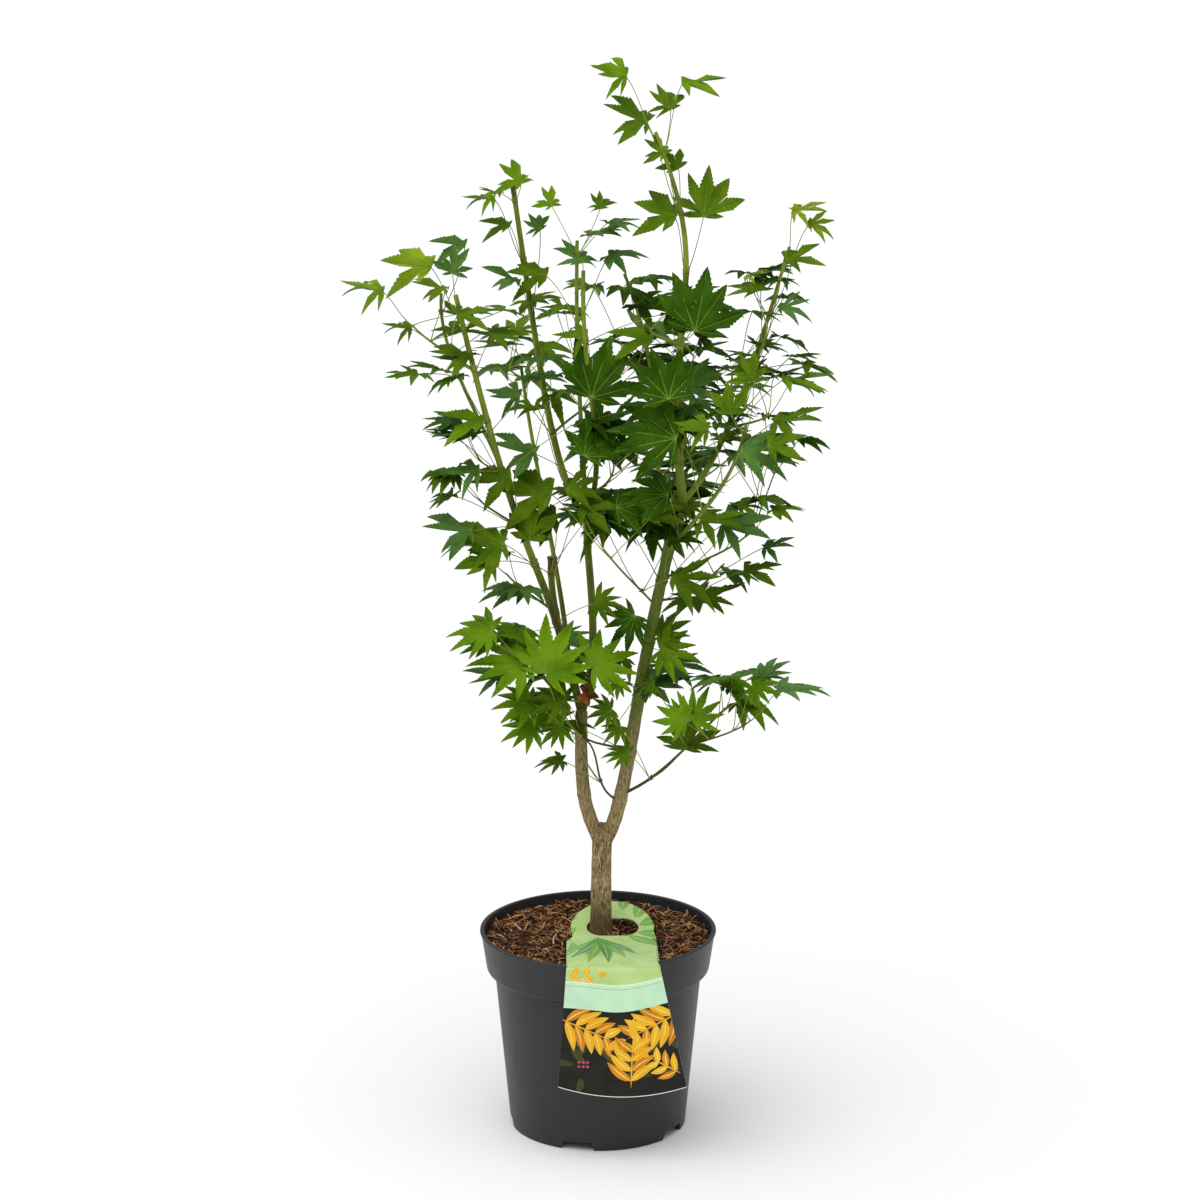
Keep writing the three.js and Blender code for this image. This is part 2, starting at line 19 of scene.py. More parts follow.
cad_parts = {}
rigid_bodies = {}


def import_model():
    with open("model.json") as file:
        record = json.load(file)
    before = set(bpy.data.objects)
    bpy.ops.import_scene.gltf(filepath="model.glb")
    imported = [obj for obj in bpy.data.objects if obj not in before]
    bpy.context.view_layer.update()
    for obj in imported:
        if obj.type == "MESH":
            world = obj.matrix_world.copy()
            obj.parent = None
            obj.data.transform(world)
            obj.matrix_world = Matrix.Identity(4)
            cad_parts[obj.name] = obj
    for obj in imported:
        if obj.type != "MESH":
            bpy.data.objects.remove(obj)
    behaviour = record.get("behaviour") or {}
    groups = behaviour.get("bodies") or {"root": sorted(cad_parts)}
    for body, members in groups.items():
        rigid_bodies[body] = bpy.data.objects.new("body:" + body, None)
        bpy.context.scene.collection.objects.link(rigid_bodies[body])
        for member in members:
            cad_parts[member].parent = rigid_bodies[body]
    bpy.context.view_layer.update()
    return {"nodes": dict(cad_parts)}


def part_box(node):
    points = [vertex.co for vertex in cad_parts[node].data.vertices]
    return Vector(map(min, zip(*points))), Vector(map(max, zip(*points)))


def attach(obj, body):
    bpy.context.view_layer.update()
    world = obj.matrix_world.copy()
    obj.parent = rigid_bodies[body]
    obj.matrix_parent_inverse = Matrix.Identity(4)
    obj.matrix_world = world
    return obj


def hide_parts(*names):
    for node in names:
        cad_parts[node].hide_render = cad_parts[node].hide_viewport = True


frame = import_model()

MM = 0.001
BODY = "root"
SEED = 20
LOG = logging.getLogger("maple")

Point = tuple[float, float, float]
Flat = tuple[float, float]
Colour = tuple[float, float, float, float]
Face = tuple[int, ...]
Material = bpy.types.Material
Mesh = bpy.types.Mesh
Thing = bpy.types.Object


def tint(code: str) -> Colour:
    """A linear colour from a six-digit screen colour.

    Args:
        code: red, green and blue as hexadecimal pairs.

    Returns:
        The linear red, green and blue, with an alpha of 1.
    """
    parts = [int(code[index:index + 2], 16) / 255 for index in (0, 2, 4)]
    linear = [p / 12.92 if p <= 0.04045 else ((p + 0.055) / 1.055) ** 2.4 for p in parts]
    return (linear[0], linear[1], linear[2], 1.0)


def smooth(low: float, high: float, value: Any) -> Any:
    """A soft step from 0 at low to 1 at high, for a number or an array."""
    share = np.clip((value - low) / (high - low), 0.0, 1.0)
    return share * share * (3 - 2 * share)


# ---- node graphs ----


class Value:
    """A node's output that takes part in Python arithmetic by adding Math nodes."""

    def __init__(self, graph: "Graph", socket: Any) -> None:
        """Keeps the graph and the socket."""
        self.graph = graph
        self.socket = socket

    def _math(self, operation: str, first: Any, second: Any) -> "Value":
        """Adds one Math node for the operation."""
        return self.graph.node("ShaderNodeMath", {0: first, 1: second}, operation=operation)

    def __add__(self, other: Any) -> "Value":
        """The sum."""
        return self._math("ADD", self, other)

    def __sub__(self, other: Any) -> "Value":
        """The difference."""
        return self._math("SUBTRACT", self, other)

    def __rsub__(self, other: Any) -> "Value":
        """The difference, from the right."""
        return self._math("SUBTRACT", other, self)

    def __mul__(self, other: Any) -> "Value":
        """The product."""
        return self._math("MULTIPLY", self, other)

    __radd__ = __add__
    __rmul__ = __mul__


class Graph:
    """Adds nodes to a tree, each with its settings and the values or links of its inputs."""

    def __init__(self, tree: bpy.types.NodeTree) -> None:
        """Keeps the tree that the nodes go into."""
        self.tree = tree

    def node(self, kind: str, sockets: dict | None = None, output: int | str = 0,
             **settings: Any) -> Value:
        """Adds one node.

        Args:
            kind: the node's type.
            sockets: a value or a link for each input, by name or index.
            output: which output to hand back.
            settings: its own properties, which are set before the inputs.

        Returns:
            The chosen output, or an empty value if the node has none.
        """
        made = self.tree.nodes.new(kind)
        for key, value in settings.items():
            setattr(made, key, value)
        for key, value in (sockets or {}).items():
            if isinstance(value, Value):
                self.tree.links.new(value.socket, made.inputs[key])
            else:
                made.inputs[key].default_value = value
        return Value(self, made.outputs[output] if made.outputs else None)


class Surface(Graph):
    """The node graph of one material, built round a Principled shader."""

    def __init__(self, name: str) -> None:
        """Starts an empty material that reads Object coordinates.

        Args:
            name: the material's name.
        """
        self.material = bpy.data.materials.new(name)
        self.material.use_nodes = True
        self.material.node_tree.nodes.clear()
        super().__init__(self.material.node_tree)
        self.place = self.node("ShaderNodeTexCoord", output="Object")

    def noise(self, scale: float, detail: float = 2.0, stretch: Point = (1, 1, 1)) -> Value:
        """Noise of so many lumps per metre, stretched along the axes."""
        spot = self.node("ShaderNodeMapping", {"Vector": self.place, "Scale": stretch})
        return self.node("ShaderNodeTexNoise", {"Vector": spot, "Scale": scale, "Detail": detail}, "Fac")

    def height(self) -> Value:
        """The height above the ground, in metres."""
        return self.node("ShaderNodeSeparateXYZ", {"Vector": self.place}, output="Z")

    def step(self, value: Value, low: float, high: float) -> Value:
        """A soft step from 0 at low to 1 at high."""
        sockets = {"Value": value, "From Min": low, "From Max": high}
        return self.node("ShaderNodeMapRange", sockets, interpolation_type="SMOOTHSTEP")

    def blend(self, share: Any, first: Any, second: Any) -> Value:
        """Mixes two colours by a share."""
        return self.node("ShaderNodeMix", {0: share, 6: first, 7: second}, 2, data_type="RGBA")

    def bump(self, height: Value, depth: float) -> Value:
        """A normal from a relief of the given depth in millimetres."""
        return self.node("ShaderNodeBump", {"Height": height, "Distance": depth * MM})

    def shade(self, **sockets: Any) -> Material:
        """Adds the Principled shader with the named sockets and hands back the material.

        Args:
            sockets: values or links, by socket name with underscores for spaces.

        Returns:
            The finished material.
        """
        named = {key.replace("_", " "): value for key, value in sockets.items()}
        shader = self.node("ShaderNodeBsdfPrincipled", named)
        self.node("ShaderNodeOutputMaterial", {"Surface": shader})
        return self.material


class NodeTool(Graph):
    """A Geometry Nodes group with named inputs that turns one mesh into another."""

    KINDS = {
        "Geometry": "Geometry", "Material": "Material", "Shapes": "Collection",
        "Sides": "Int", "Seed": "Int",
    }

    def __init__(self, name: str, inputs: Sequence[str]) -> None:
        """Makes the group, its inputs and its one output.

        Args:
            name: the group's name.
            inputs: what it takes besides Geometry; what KINDS doesn't name is a plain number.
        """
        super().__init__(bpy.data.node_groups.new(name, "GeometryNodeTree"))
        sockets = self.tree.interface
        for label in ("Geometry", *inputs):
            kind = self.KINDS.get(label, "Float")
            sockets.new_socket(label, in_out="INPUT", socket_type=f"NodeSocket{kind}")
        sockets.new_socket("Geometry", in_out="OUTPUT", socket_type="NodeSocketGeometry")
        self.source = self.tree.nodes.new("NodeGroupInput")

    def given(self, label: str) -> Value:
        """The group's own input of that name."""
        return Value(self, self.source.outputs[label])

    def attribute(self, name: str, kind: str) -> Value:
        """A named attribute of the points."""
        return self.node("GeometryNodeInputNamedAttribute", {"Name": name}, data_type=kind)

    def end(self, geometry: Value) -> None:
        """Realizes the instances, sets the material and links the group's output.

        Args:
            geometry: what the group has made.
        """
        real = self.node("GeometryNodeRealizeInstances", {"Geometry": geometry})
        dressed = {"Geometry": real, "Material": self.given("Material")}
        self.node("NodeGroupOutput", {0: self.node("GeometryNodeSetMaterial", dressed)})

    def end_with_shapes(self, sockets: dict[str, Any]) -> None:
        """Sets one of the given shapes at every point and ends the group.

        Args:
            sockets: the points, the turn, the scale and, if it isn't left to chance, the shape's number.
        """
        shapes = {"Collection": self.given("Shapes"), "Separate Children": True, "Reset Children": True}
        chosen = self.node("GeometryNodeCollectionInfo", shapes)
        placed = {**sockets, "Instance": chosen, "Pick Instance": True}
        self.end(self.node("GeometryNodeInstanceOnPoints", placed))

    def run(self, name: str, mesh: Mesh, finish: Any, **values: Any) -> Thing:
        """Runs the group on a mesh.

        Args:
            name: the new object's name.
            mesh: what goes in.
            finish: the finish that the result wears.
            values: the other inputs, by name.

        Returns:
            An object that holds the plain result.
        """
        values["Material"] = finish.material()
        holder = bpy.data.objects.new(name, mesh)
        bpy.context.scene.collection.objects.link(holder)
        modifier = holder.modifiers.new(self.tree.name, "NODES")
        modifier.node_group = self.tree
        for item in self.tree.interface.items_tree:
            if item.in_out == "INPUT" and item.name in values:
                modifier[item.identifier] = values[item.name]
        return plain(holder)


def plain(holder: Thing) -> Thing:
    """Turns an object's live modifiers into a plain mesh.

    Args:
        holder: the object with its modifiers.

    Returns:
        The same object, with the evaluated mesh and no modifier.
    """
    ready = holder.evaluated_get(bpy.context.evaluated_depsgraph_get())
    mesh = bpy.data.meshes.new_from_object(ready)
    holder.modifiers.clear()
    holder.data = mesh
    mesh.name = holder.name
    return holder


class TubeTool(NodeTool):
    """Sweeps a round section along every line of a mesh, as thick as its points say."""

    def __init__(self) -> None:
        """Builds the group."""
        super().__init__("tube", ("Sides", "Material"))
        line = self.node("GeometryNodeMeshToCurve", {"Mesh": self.given("Geometry")})
        ring = {"Resolution": self.given("Sides"), "Radius": 1.0}
        section = self.node("GeometryNodeCurvePrimitiveCircle", ring)
        sweep = {"Curve": line, "Profile Curve": section, "Fill Caps": True}
        sweep["Scale"] = self.attribute("thickness", "FLOAT")
        tube = self.node("GeometryNodeCurveToMesh", sweep)
        self.end(self.node("GeometryNodeSetShadeSmooth", {"Geometry": tube}))


class ScatterTool(NodeTool):
    """Strews small shapes over a surface, turned at random about its normal."""

    def __init__(self) -> None:
        """Builds the group."""
        inputs = ("Shapes", "Density", "Smallest", "Largest", "Tilt", "Seed", "Material")
        super().__init__("scatter", inputs)
        seed = self.given("Seed")
        spread = {"Mesh": self.given("Geometry"), "Density": self.given("Density"), "Seed": seed}
        points = self.node("GeometryNodeDistributePointsOnFaces", spread)
        normal = Value(self, points.socket.node.outputs["Normal"])
        upright = self.node("FunctionNodeAlignRotationToVector", {"Vector": normal}, axis="Z")
        lean = self.given("Tilt")
        low = self.node("ShaderNodeCombineXYZ", {0: 0.0 - lean, 1: 0.0 - lean, 2: 0.0})
        high = self.node("ShaderNodeCombineXYZ", {0: lean, 1: lean, 2: 2 * pi})
        angles = {"Min": low, "Max": high, "Seed": seed}
        turn = self.node("FunctionNodeRandomValue", angles, data_type="FLOAT_VECTOR")
        spin = self.node("FunctionNodeEulerToRotation", {"Euler": turn})
        facing = {"Rotation": upright, "Rotate By": spin}
        rotation = self.node("FunctionNodeRotateRotation", facing, rotation_space="LOCAL")
        sizes = {2: self.given("Smallest"), 3: self.given("Largest"), "Seed": seed + 1}
        size = self.node("FunctionNodeRandomValue", sizes, 1, data_type="FLOAT")
        self.end_with_shapes({"Points": points, "Rotation": rotation, "Scale": size})


class SprayTool(NodeTool):
    """Sets a shape at each point, with the turn, span and shape number that the point holds."""

    def __init__(self) -> None:
        """Builds the group."""
        super().__init__("spray", ("Shapes", "Material"))
        euler = {"Euler": self.attribute("turn", "FLOAT_VECTOR")}
        self.end_with_shapes({
            "Points": self.given("Geometry"),
            "Instance Index": self.attribute("shape", "INT"),
            "Rotation": self.node("FunctionNodeEulerToRotation", euler),
            "Scale": self.attribute("span", "FLOAT_VECTOR"),
        })


# ---- meshes and pieces ----


def mesh_of(name: str, points: Any, faces: Sequence[Sequence[int]], shade: bool = True,
            edges: Sequence[tuple[int, int]] = ()) -> Mesh:
    """A mesh in metres from points in millimetres.

    Args:
        name: the mesh's name.
        points: an array or list of points, in millimetres.
        faces: the corners of each face.
        shade: whether faces are shaded smooth.
        edges: loose edges, for lines.

    Returns:
        The new mesh.
    """
    mesh = bpy.data.meshes.new(name)
    mesh.from_pydata((np.asarray(points, float) * MM).tolist(), list(edges), list(faces))
    if faces:
        mesh.polygons.foreach_set("use_smooth", np.full(len(mesh.polygons), shade))
    mesh.update()
    return mesh


def turned(face: Sequence[int]) -> Face:
    """The face seen from behind; it keeps its first corner, so that a bent quad splits alike."""
    return (face[0], *reversed(face[1:]))


def object_of(mesh: Mesh, *materials: Material) -> Thing:
    """An object in the scene that holds the mesh and its materials.

    Args:
        mesh: the mesh, whose name the object takes.
        materials: what its faces wear, in the order of their numbers.

    Returns:
        The new object.
    """
    made = bpy.data.objects.new(mesh.name, mesh)
    for material in materials:
        mesh.materials.append(material)
    bpy.context.scene.collection.objects.link(made)
    return made


def collection_of(name: str, meshes: Iterable[Mesh]) -> bpy.types.Collection:
    """A collection outside the scene, one object for each mesh, for the node tools to draw on.

    Args:
        name: the collection's name.
        meshes: the meshes, in the order of their numbers.

    Returns:
        The collection.
    """
    made = bpy.data.collections.new(name)
    for index, mesh in enumerate(meshes):
        made.objects.link(bpy.data.objects.new(f"{name}_{index:02d}", mesh))
    return made


def settle(piece: Thing, nodes: Sequence[str] = ()) -> Thing:
    """Rides a finished piece on the body and what it stands for, and reports it.

    Args:
        piece: the finished object.
        nodes: the CAD nodes that it replaces.

    Returns:
        The piece.
    """
    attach(piece, BODY)
    if nodes:
        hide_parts(*nodes)
    piece.data.calc_loop_triangles()
    LOG.info("%s: %d triangles", piece.name, len(piece.data.loop_triangles))
    return piece


def spin(profile: Sequence[Flat], segments: int) -> tuple[np.ndarray, list[Face]]:
    """Turns a closed profile round the upright axis.

    Args:
        profile: radius and height of each point, from the axis round to the axis.
        segments: steps in a full turn.

    Returns:
        The points and the faces, pointing outwards for a profile that runs up its outside.
    """
    inner = profile[1:-1]
    turns = np.arange(segments) * 2 * pi / segments
    rows = [np.column_stack([r * np.cos(turns), r * np.sin(turns), np.full(segments, z)]) for r, z in inner]
    ends = np.array([[0, 0, profile[0][1]], [0, 0, profile[-1][1]]])
    points = np.vstack([*rows, ends])
    faces = []
    last = (len(inner) - 1) * segments
    for here in range(segments):
        after = (here + 1) % segments
        for row in range(0, last, segments):
            faces.append((row + here, row + after, row + segments + after, row + segments + here))
        faces.append((len(points) - 2, after, here))
        faces.append((last + here, last + after, len(points) - 1))
    return points, faces


def loft(rings: Sequence[Sequence[Any]], start: int = 0) -> list[Face]:
    """The faces of a solid through rings of equally many points.

    Args:
        rings: each runs anticlockwise as seen from the last one's side.
        start: the number of the first point.

    Returns:
        The faces of both ends and of the sides, pointing outwards.
    """
    count = len(rings[0])
    last = start + (len(rings) - 1) * count
    faces: list[Face] = [tuple(reversed(range(start, start + count))), tuple(range(last, last + count))]
    for row in range(start, last, count):
        for here in range(count):
            after = (here + 1) % count
            faces.append((row + here, row + after, row + count + after, row + count + here))
    return faces


def rounded(corners: Sequence[tuple[float, float, float]], steps: int = 4) -> list[Flat]:
    """Rounds the corners of a profile.

    Args:
        corners: radius, height and rounding of each corner.
        steps: pieces in each rounding.

    Returns:
        The profile's points.
    """
    out = []
    for index, (x, y, radius) in enumerate(corners):
        if radius == 0 or index in (0, len(corners) - 1):
            out.append((x, y))
            continue
        here = Vector((x, y))
        before = Vector(corners[index - 1][:2]) - here
        after = Vector(corners[index + 1][:2]) - here
        reach = min(radius, before.length * 0.45, after.length * 0.45)
        first = here + before.normalized() * reach
        last = here + after.normalized() * reach
        for step in range(steps + 1):
            share = step / steps
            spot = first.lerp(here, share).lerp(here.lerp(last, share), share)
            out.append((spot.x, spot.y))
    return out


@dataclass
class Stroke:
    """A tapering line that becomes a tube: its points and its radius at each, in millimetres."""

    points: list[Vector]
    radii: list[float]


def stroke_mesh(name: str, strokes: Sequence[Stroke]) -> Mesh:
    """Joins strokes into one mesh of lines with a thickness at each point.

    Args:
        name: the mesh's name.
        strokes: the lines.

    Returns:
        The mesh, for the tube tool.
    """
    points = []
    edges = []
    radii = []
    for stroke in strokes:
        start = len(points)
        points.extend(stroke.points)
        radii.extend(stroke.radii)
        edges.extend((start + k, start + k + 1) for k in range(len(stroke.points) - 1))
    mesh = mesh_of(name, points, [], edges=edges)
    thickness = mesh.attributes.new("thickness", "FLOAT", "POINT")
    thickness.data.foreach_set("value", [radius * MM for radius in radii])
    return mesh


def bezier(p0: Vector, p1: Vector, p2: Vector, p3: Vector, share: float) -> Vector:
    """The point at a share of a cubic curve."""
    rest = 1 - share
    return rest ** 3 * p0 + 3 * rest ** 2 * share * p1 + 3 * rest * share ** 2 * p2 + share ** 3 * p3


# ---- finishes ----


@dataclass(frozen=True)
class PotPlastic:
    """Recycled black nursery-pot plastic: satin, faintly grained, with dull scuffs."""

    name: str = "black_pot_plastic"
    black: str = "17181a"
    dull: str = "25262a"

    def material(self) -> Material:
        """Builds the material.

        Returns:
            The new material.
        """
        graph = Surface(self.name)
        cloud = graph.noise(28, 3, (1, 1, 0.5))
        scuff = graph.step(graph.noise(160, 3, (1, 1, 0.16)), 0.58, 0.74)
        colour = graph.blend(cloud * 0.5 + scuff * 0.35, tint(self.black), tint(self.dull))
        grain = graph.noise(1500, 2) * 0.05 + graph.noise(60, 2, (1, 1, 0.3)) * 0.5
        return graph.shade(
            Base_Color=colour, Roughness=0.4 + 0.16 * cloud + 0.1 * scuff,
            Normal=graph.bump(grain, 0.35), Specular_IOR_Level=0.45,
        )


@dataclass(frozen=True)
class Finish:
    """A finish that drifts between two colours in broad clouds, broken up by a finer grain.

    Either pattern is its lumps per metre, its detail and its stretch along the height.
    """

    name: str
    main: str
    drift: str
    clouds: Point = (38, 2, 1)
    grain: Point = (420, 3, 1)
    mixing: float = 0.35
    edges: Flat = (0.34, 0.66)
    rough: Flat = (0.5, 0.15)
    relief: float = 0.5
    specular: float = 0.03
    coat: float = 0.0
    woody: str = ""
    rough_by_grain: bool = False
    raised_by_grain: bool = True

    def material(self) -> Material:
        """Builds the material.

        Returns:
            The new material.
        """
        graph = Surface(self.name)
        clouds, grain = (graph.noise(lumps, detail, (1, 1, stretch))
                         for lumps, detail, stretch in (self.clouds, self.grain))
        share = graph.step(clouds + (grain - 0.5) * self.mixing, *self.edges)
        colour = graph.blend(share, tint(self.main), tint(self.drift))
        if self.woody:
            level = graph.height() + clouds * 0.12
            colour = graph.blend(graph.step(level, 0.45, 0.55), tint(self.woody), colour)
        base, swing = self.rough
        return graph.shade(
            Base_Color=colour, Roughness=base + swing * (grain if self.rough_by_grain else clouds),
            Normal=graph.bump(grain if self.raised_by_grain else clouds, self.relief),
            Specular_IOR_Level=self.specular, Coat_Weight=self.coat, Coat_Roughness=0.2,
        )


@dataclass(frozen=True)
class Compost(Finish):
    """Damp brown compost, or the bark and coir shreds on it."""

    clouds: Point = (900, 4, 1)
    grain: Point = (2700, 4, 1)
    mixing: float = 0.0
    edges: Flat = (0.32, 0.7)
    rough: Flat = (0.8, 0.15)
    relief: float = 0.8
    specular: float = 0.3


@dataclass(frozen=True)
class GreenStem(Finish):
    """The smooth skin of young stems, twigs and leaf stalks, with fine lengthwise streaks."""

    clouds: Point = (45, 3, 0.5)
    grain: Point = (900, 2, 0.07)
    mixing: float = 0.5
    edges: Flat = (0.3, 0.68)
    rough: Flat = (0.45, 0.15)
    relief: float = 0.25
    specular: float = 0.14


@dataclass(frozen=True)
class Blade(Finish):
    """One face of a leaf, whose fine wrinkle breaks up its colour and its gloss."""

    rough_by_grain: bool = True


@dataclass(frozen=True)
class Ink(Finish):
    """A printed colour under the tag's clear gloss film, with the faint unevenness of print."""

    clouds: Point = (70, 2, 1)
    grain: Point = (2600, 1, 1)
    mixing: float = 0.3
    edges: Flat = (0.3, 0.7)
    rough: Flat = (0.38, 0.08)
    relief: float = 0.2
    specular: float = 0.2
    coat: float = 0.06
    raised_by_grain: bool = False


@dataclass(frozen=True)
class Bark:
    """Young maple bark: brown and streaked at the foot, olive-green higher up."""

    name: str = "maple_bark"
    foot: str = "968054"
    middle: str = "84744a"
    upper: str = "64781c"
    streak: str = "d2be92"
    crack: str = "463420"
    # the colour that the trunk darkens to over its lowest few centimetres, just above the compost
    darker_base: str = "523c24"
    wrinkle: str = "84543a"

    def material(self) -> Material:
        """Builds the material.

        Returns:
            The new material.
        """
        graph = Surface(self.name)
        patch = graph.noise(55, 3, (1, 1, 0.5))
        level = graph.height() + patch * 0.07
        low = graph.blend(graph.step(level, 0.29, 0.35), tint(self.foot), tint(self.middle))
        base = graph.blend(graph.step(level, 0.355, 0.4), low, tint(self.upper))
        streaks = graph.step(graph.noise(1250, 3, (1, 1, 0.17)), 0.48, 0.6)
        stout = 1 - graph.step(graph.height(), 0.235, 0.275) * 0.45
        woody = stout - graph.step(graph.height(), 0.3, 0.37) * 0.45
        pale = graph.blend(streaks * woody * 0.88, base, tint(self.streak))
        cracks = graph.step(graph.noise(860, 4, (1, 1, 0.18)), 0.54, 0.62)
        marked = graph.blend(cracks * woody * 0.68, pale, tint(self.crack))
        blotch = graph.step(graph.noise(80, 3, (1, 1, 0.5)), 0.54, 0.72) * woody * 0.3
        blotched = graph.blend(blotch, marked, tint(self.crack))
        # Darker towards the foot, over the lowest few centimetres above the compost.
        foot = 1 - graph.step(graph.height() - patch * 0.03, 0.15, 0.185)
        darkened = graph.blend(foot * 0.85, blotched, tint(self.darker_base))
        fork = graph.step(graph.height(), 0.222, 0.236) * (1 - graph.step(graph.height(), 0.246, 0.256))
        folds = graph.step(graph.noise(420, 3, (1, 1, 2.2)), 0.46, 0.6) * fork
        colour = graph.blend(folds * 0.6, darkened, tint(self.wrinkle))
        relief = streaks * 0.6 - cracks + graph.noise(1400, 3) * 0.5 + folds
        return graph.shade(
            Base_Color=colour, Roughness=0.62 + 0.2 * patch, Normal=graph.bump(relief, 0.45),
            Specular_IOR_Level=0.3,
        )


@dataclass(frozen=True)
class StudioFloor:
    """A pale, matt studio floor with a barely visible mottle."""

    name: str = "studio_floor"

    def material(self) -> Material:
        """Builds the material.

        Returns:
            The new material.
        """
        graph = Surface(self.name)
        cloud = graph.noise(3, 2)
        colour = graph.blend(cloud, tint("f6f6f6"), tint("f9f9f9"))
        return graph.shade(Base_Color=colour, Roughness=0.9 + 0.05 * cloud, Specular_IOR_Level=0.1)


# ---- pot and compost ----


@dataclass
class NurseryPot:
    """The round pot: a tapered body, a wider collar, a rolled lip and a notched foot ring."""

    height: float = 164
    lip_radius: float = 95
    inside_lip: float = 91.6
    wall: float = 1.5
    foot_radius: float = 70.8
    foot_width: float = 3.5
    body_top: Flat = (82.9, 126.5)
    collar_foot: float = 128.5
    collar: Flat = (89.5, 131.5)
    below_lip: float = 94
    lip_depth: float = 2.5
    proud: float = 0.7
    base_plate: float = 7.5
    notches: int = 5
    notch_width: Flat = (28, 23)
    notch_height: float = 7
    notch_reach: float = 20
    first_notch: float = -103.5
    drain_radius: float = 5
    drain_circle: float = 48
    drill_sides: int = 24
    segments: int = 180
    sharp_angle: float = 38

    def inside(self, clear: float) -> list[Point]:
        """The wall's inner corners from the base plate up.

        Args:
            clear: how far they are drawn in.

        Returns:
            Radius, height and rounding of each.
        """
        floor = self.base_plate + self.wall
        taper = (self.body_top[0] - self.foot_radius) / self.body_top[1]
        return [
            (self.foot_radius + taper * floor - self.wall - clear, floor + clear, 3),
            (self.body_top[0] - self.wall - clear, self.body_top[1], 0.8),
            (self.body_top[0] - clear, self.collar_foot + self.wall, 0.8),
            (self.collar[0] - self.wall - clear, self.collar[1] + self.wall, 5),
        ]

    def profile(self) -> list[Flat]:
        """Lays out the whole wall's section, up its outside and down its inside.

        Returns:
            The radius and height of each point.
        """
        ring = self.body_top[0] + self.proud
        foot_inside = self.foot_radius - self.foot_width
        below = self.height - self.lip_depth
        corners = [
            (0, self.base_plate, 0),
            (foot_inside, self.base_plate, 0.8), (foot_inside, 0, 0.5),
            (self.foot_radius, 0, 1.4), (*self.body_top, 0.3),
            (ring, self.body_top[1] + self.proud, 0.4), (ring, self.collar_foot, 0.4),
            (*self.collar, 2.4), (self.below_lip, below, 0.6),
            (self.lip_radius, below + self.proud, 0.7), (self.lip_radius, self.height, 1.2),
            (self.inside_lip, self.height, 0.7),
            *reversed(self.inside(0)), (0, self.base_plate + self.wall, 0),
        ]
        return rounded(corners)

    def cutters(self) -> Thing:
        """The wedges that cut the notches and the drills that cut the drain holes.

        Returns:
            One object with all of them.
        """
        low, high = (width / 2 for width in self.notch_width)
        wedge = [(-low, -1), (low, -1), (high, self.notch_height), (-high, self.notch_height)]
        turns = [side * 2 * pi / self.drill_sides for side in range(self.drill_sides)]
        drill = [(self.drain_circle + self.drain_radius * cos(turn), self.drain_radius * sin(turn))
                 for turn in turns]
        reach = self.notch_reach / 2
        solids = (
            [[(x, y, z) for y, z in wedge] for x in (self.foot_radius - reach, self.foot_radius + reach)],
            [[(x, y, self.base_plate + side * self.wall) for x, y in drill] for side in (-2, 3)],
        )
        points = []
        faces = []
        for index in range(self.notches):
            turn = Matrix.Rotation(radians(self.first_notch + index * 360 / self.notches), 3, "Z")
            for rings in solids:
                faces += loft(rings, len(points))
                points += [turn @ Vector(spot) for ring in rings for spot in ring]
        return object_of(mesh_of("pot_cutters", points, faces))

    def build(self) -> None:
        """Builds and dresses the pot."""
        points, faces = spin(self.profile(), self.segments)
        shell = object_of(mesh_of("nursery_pot", points, faces), PotPlastic().material())
        cutter = self.cutters()
        cut = shell.modifiers.new("notches", "BOOLEAN")
        cut.operation = "DIFFERENCE"
        cut.object = cutter
        plain(shell)
        bpy.data.objects.remove(cutter)
        shell.data.set_sharp_from_angle(angle=radians(self.sharp_angle))
        settle(shell, ["pot"])


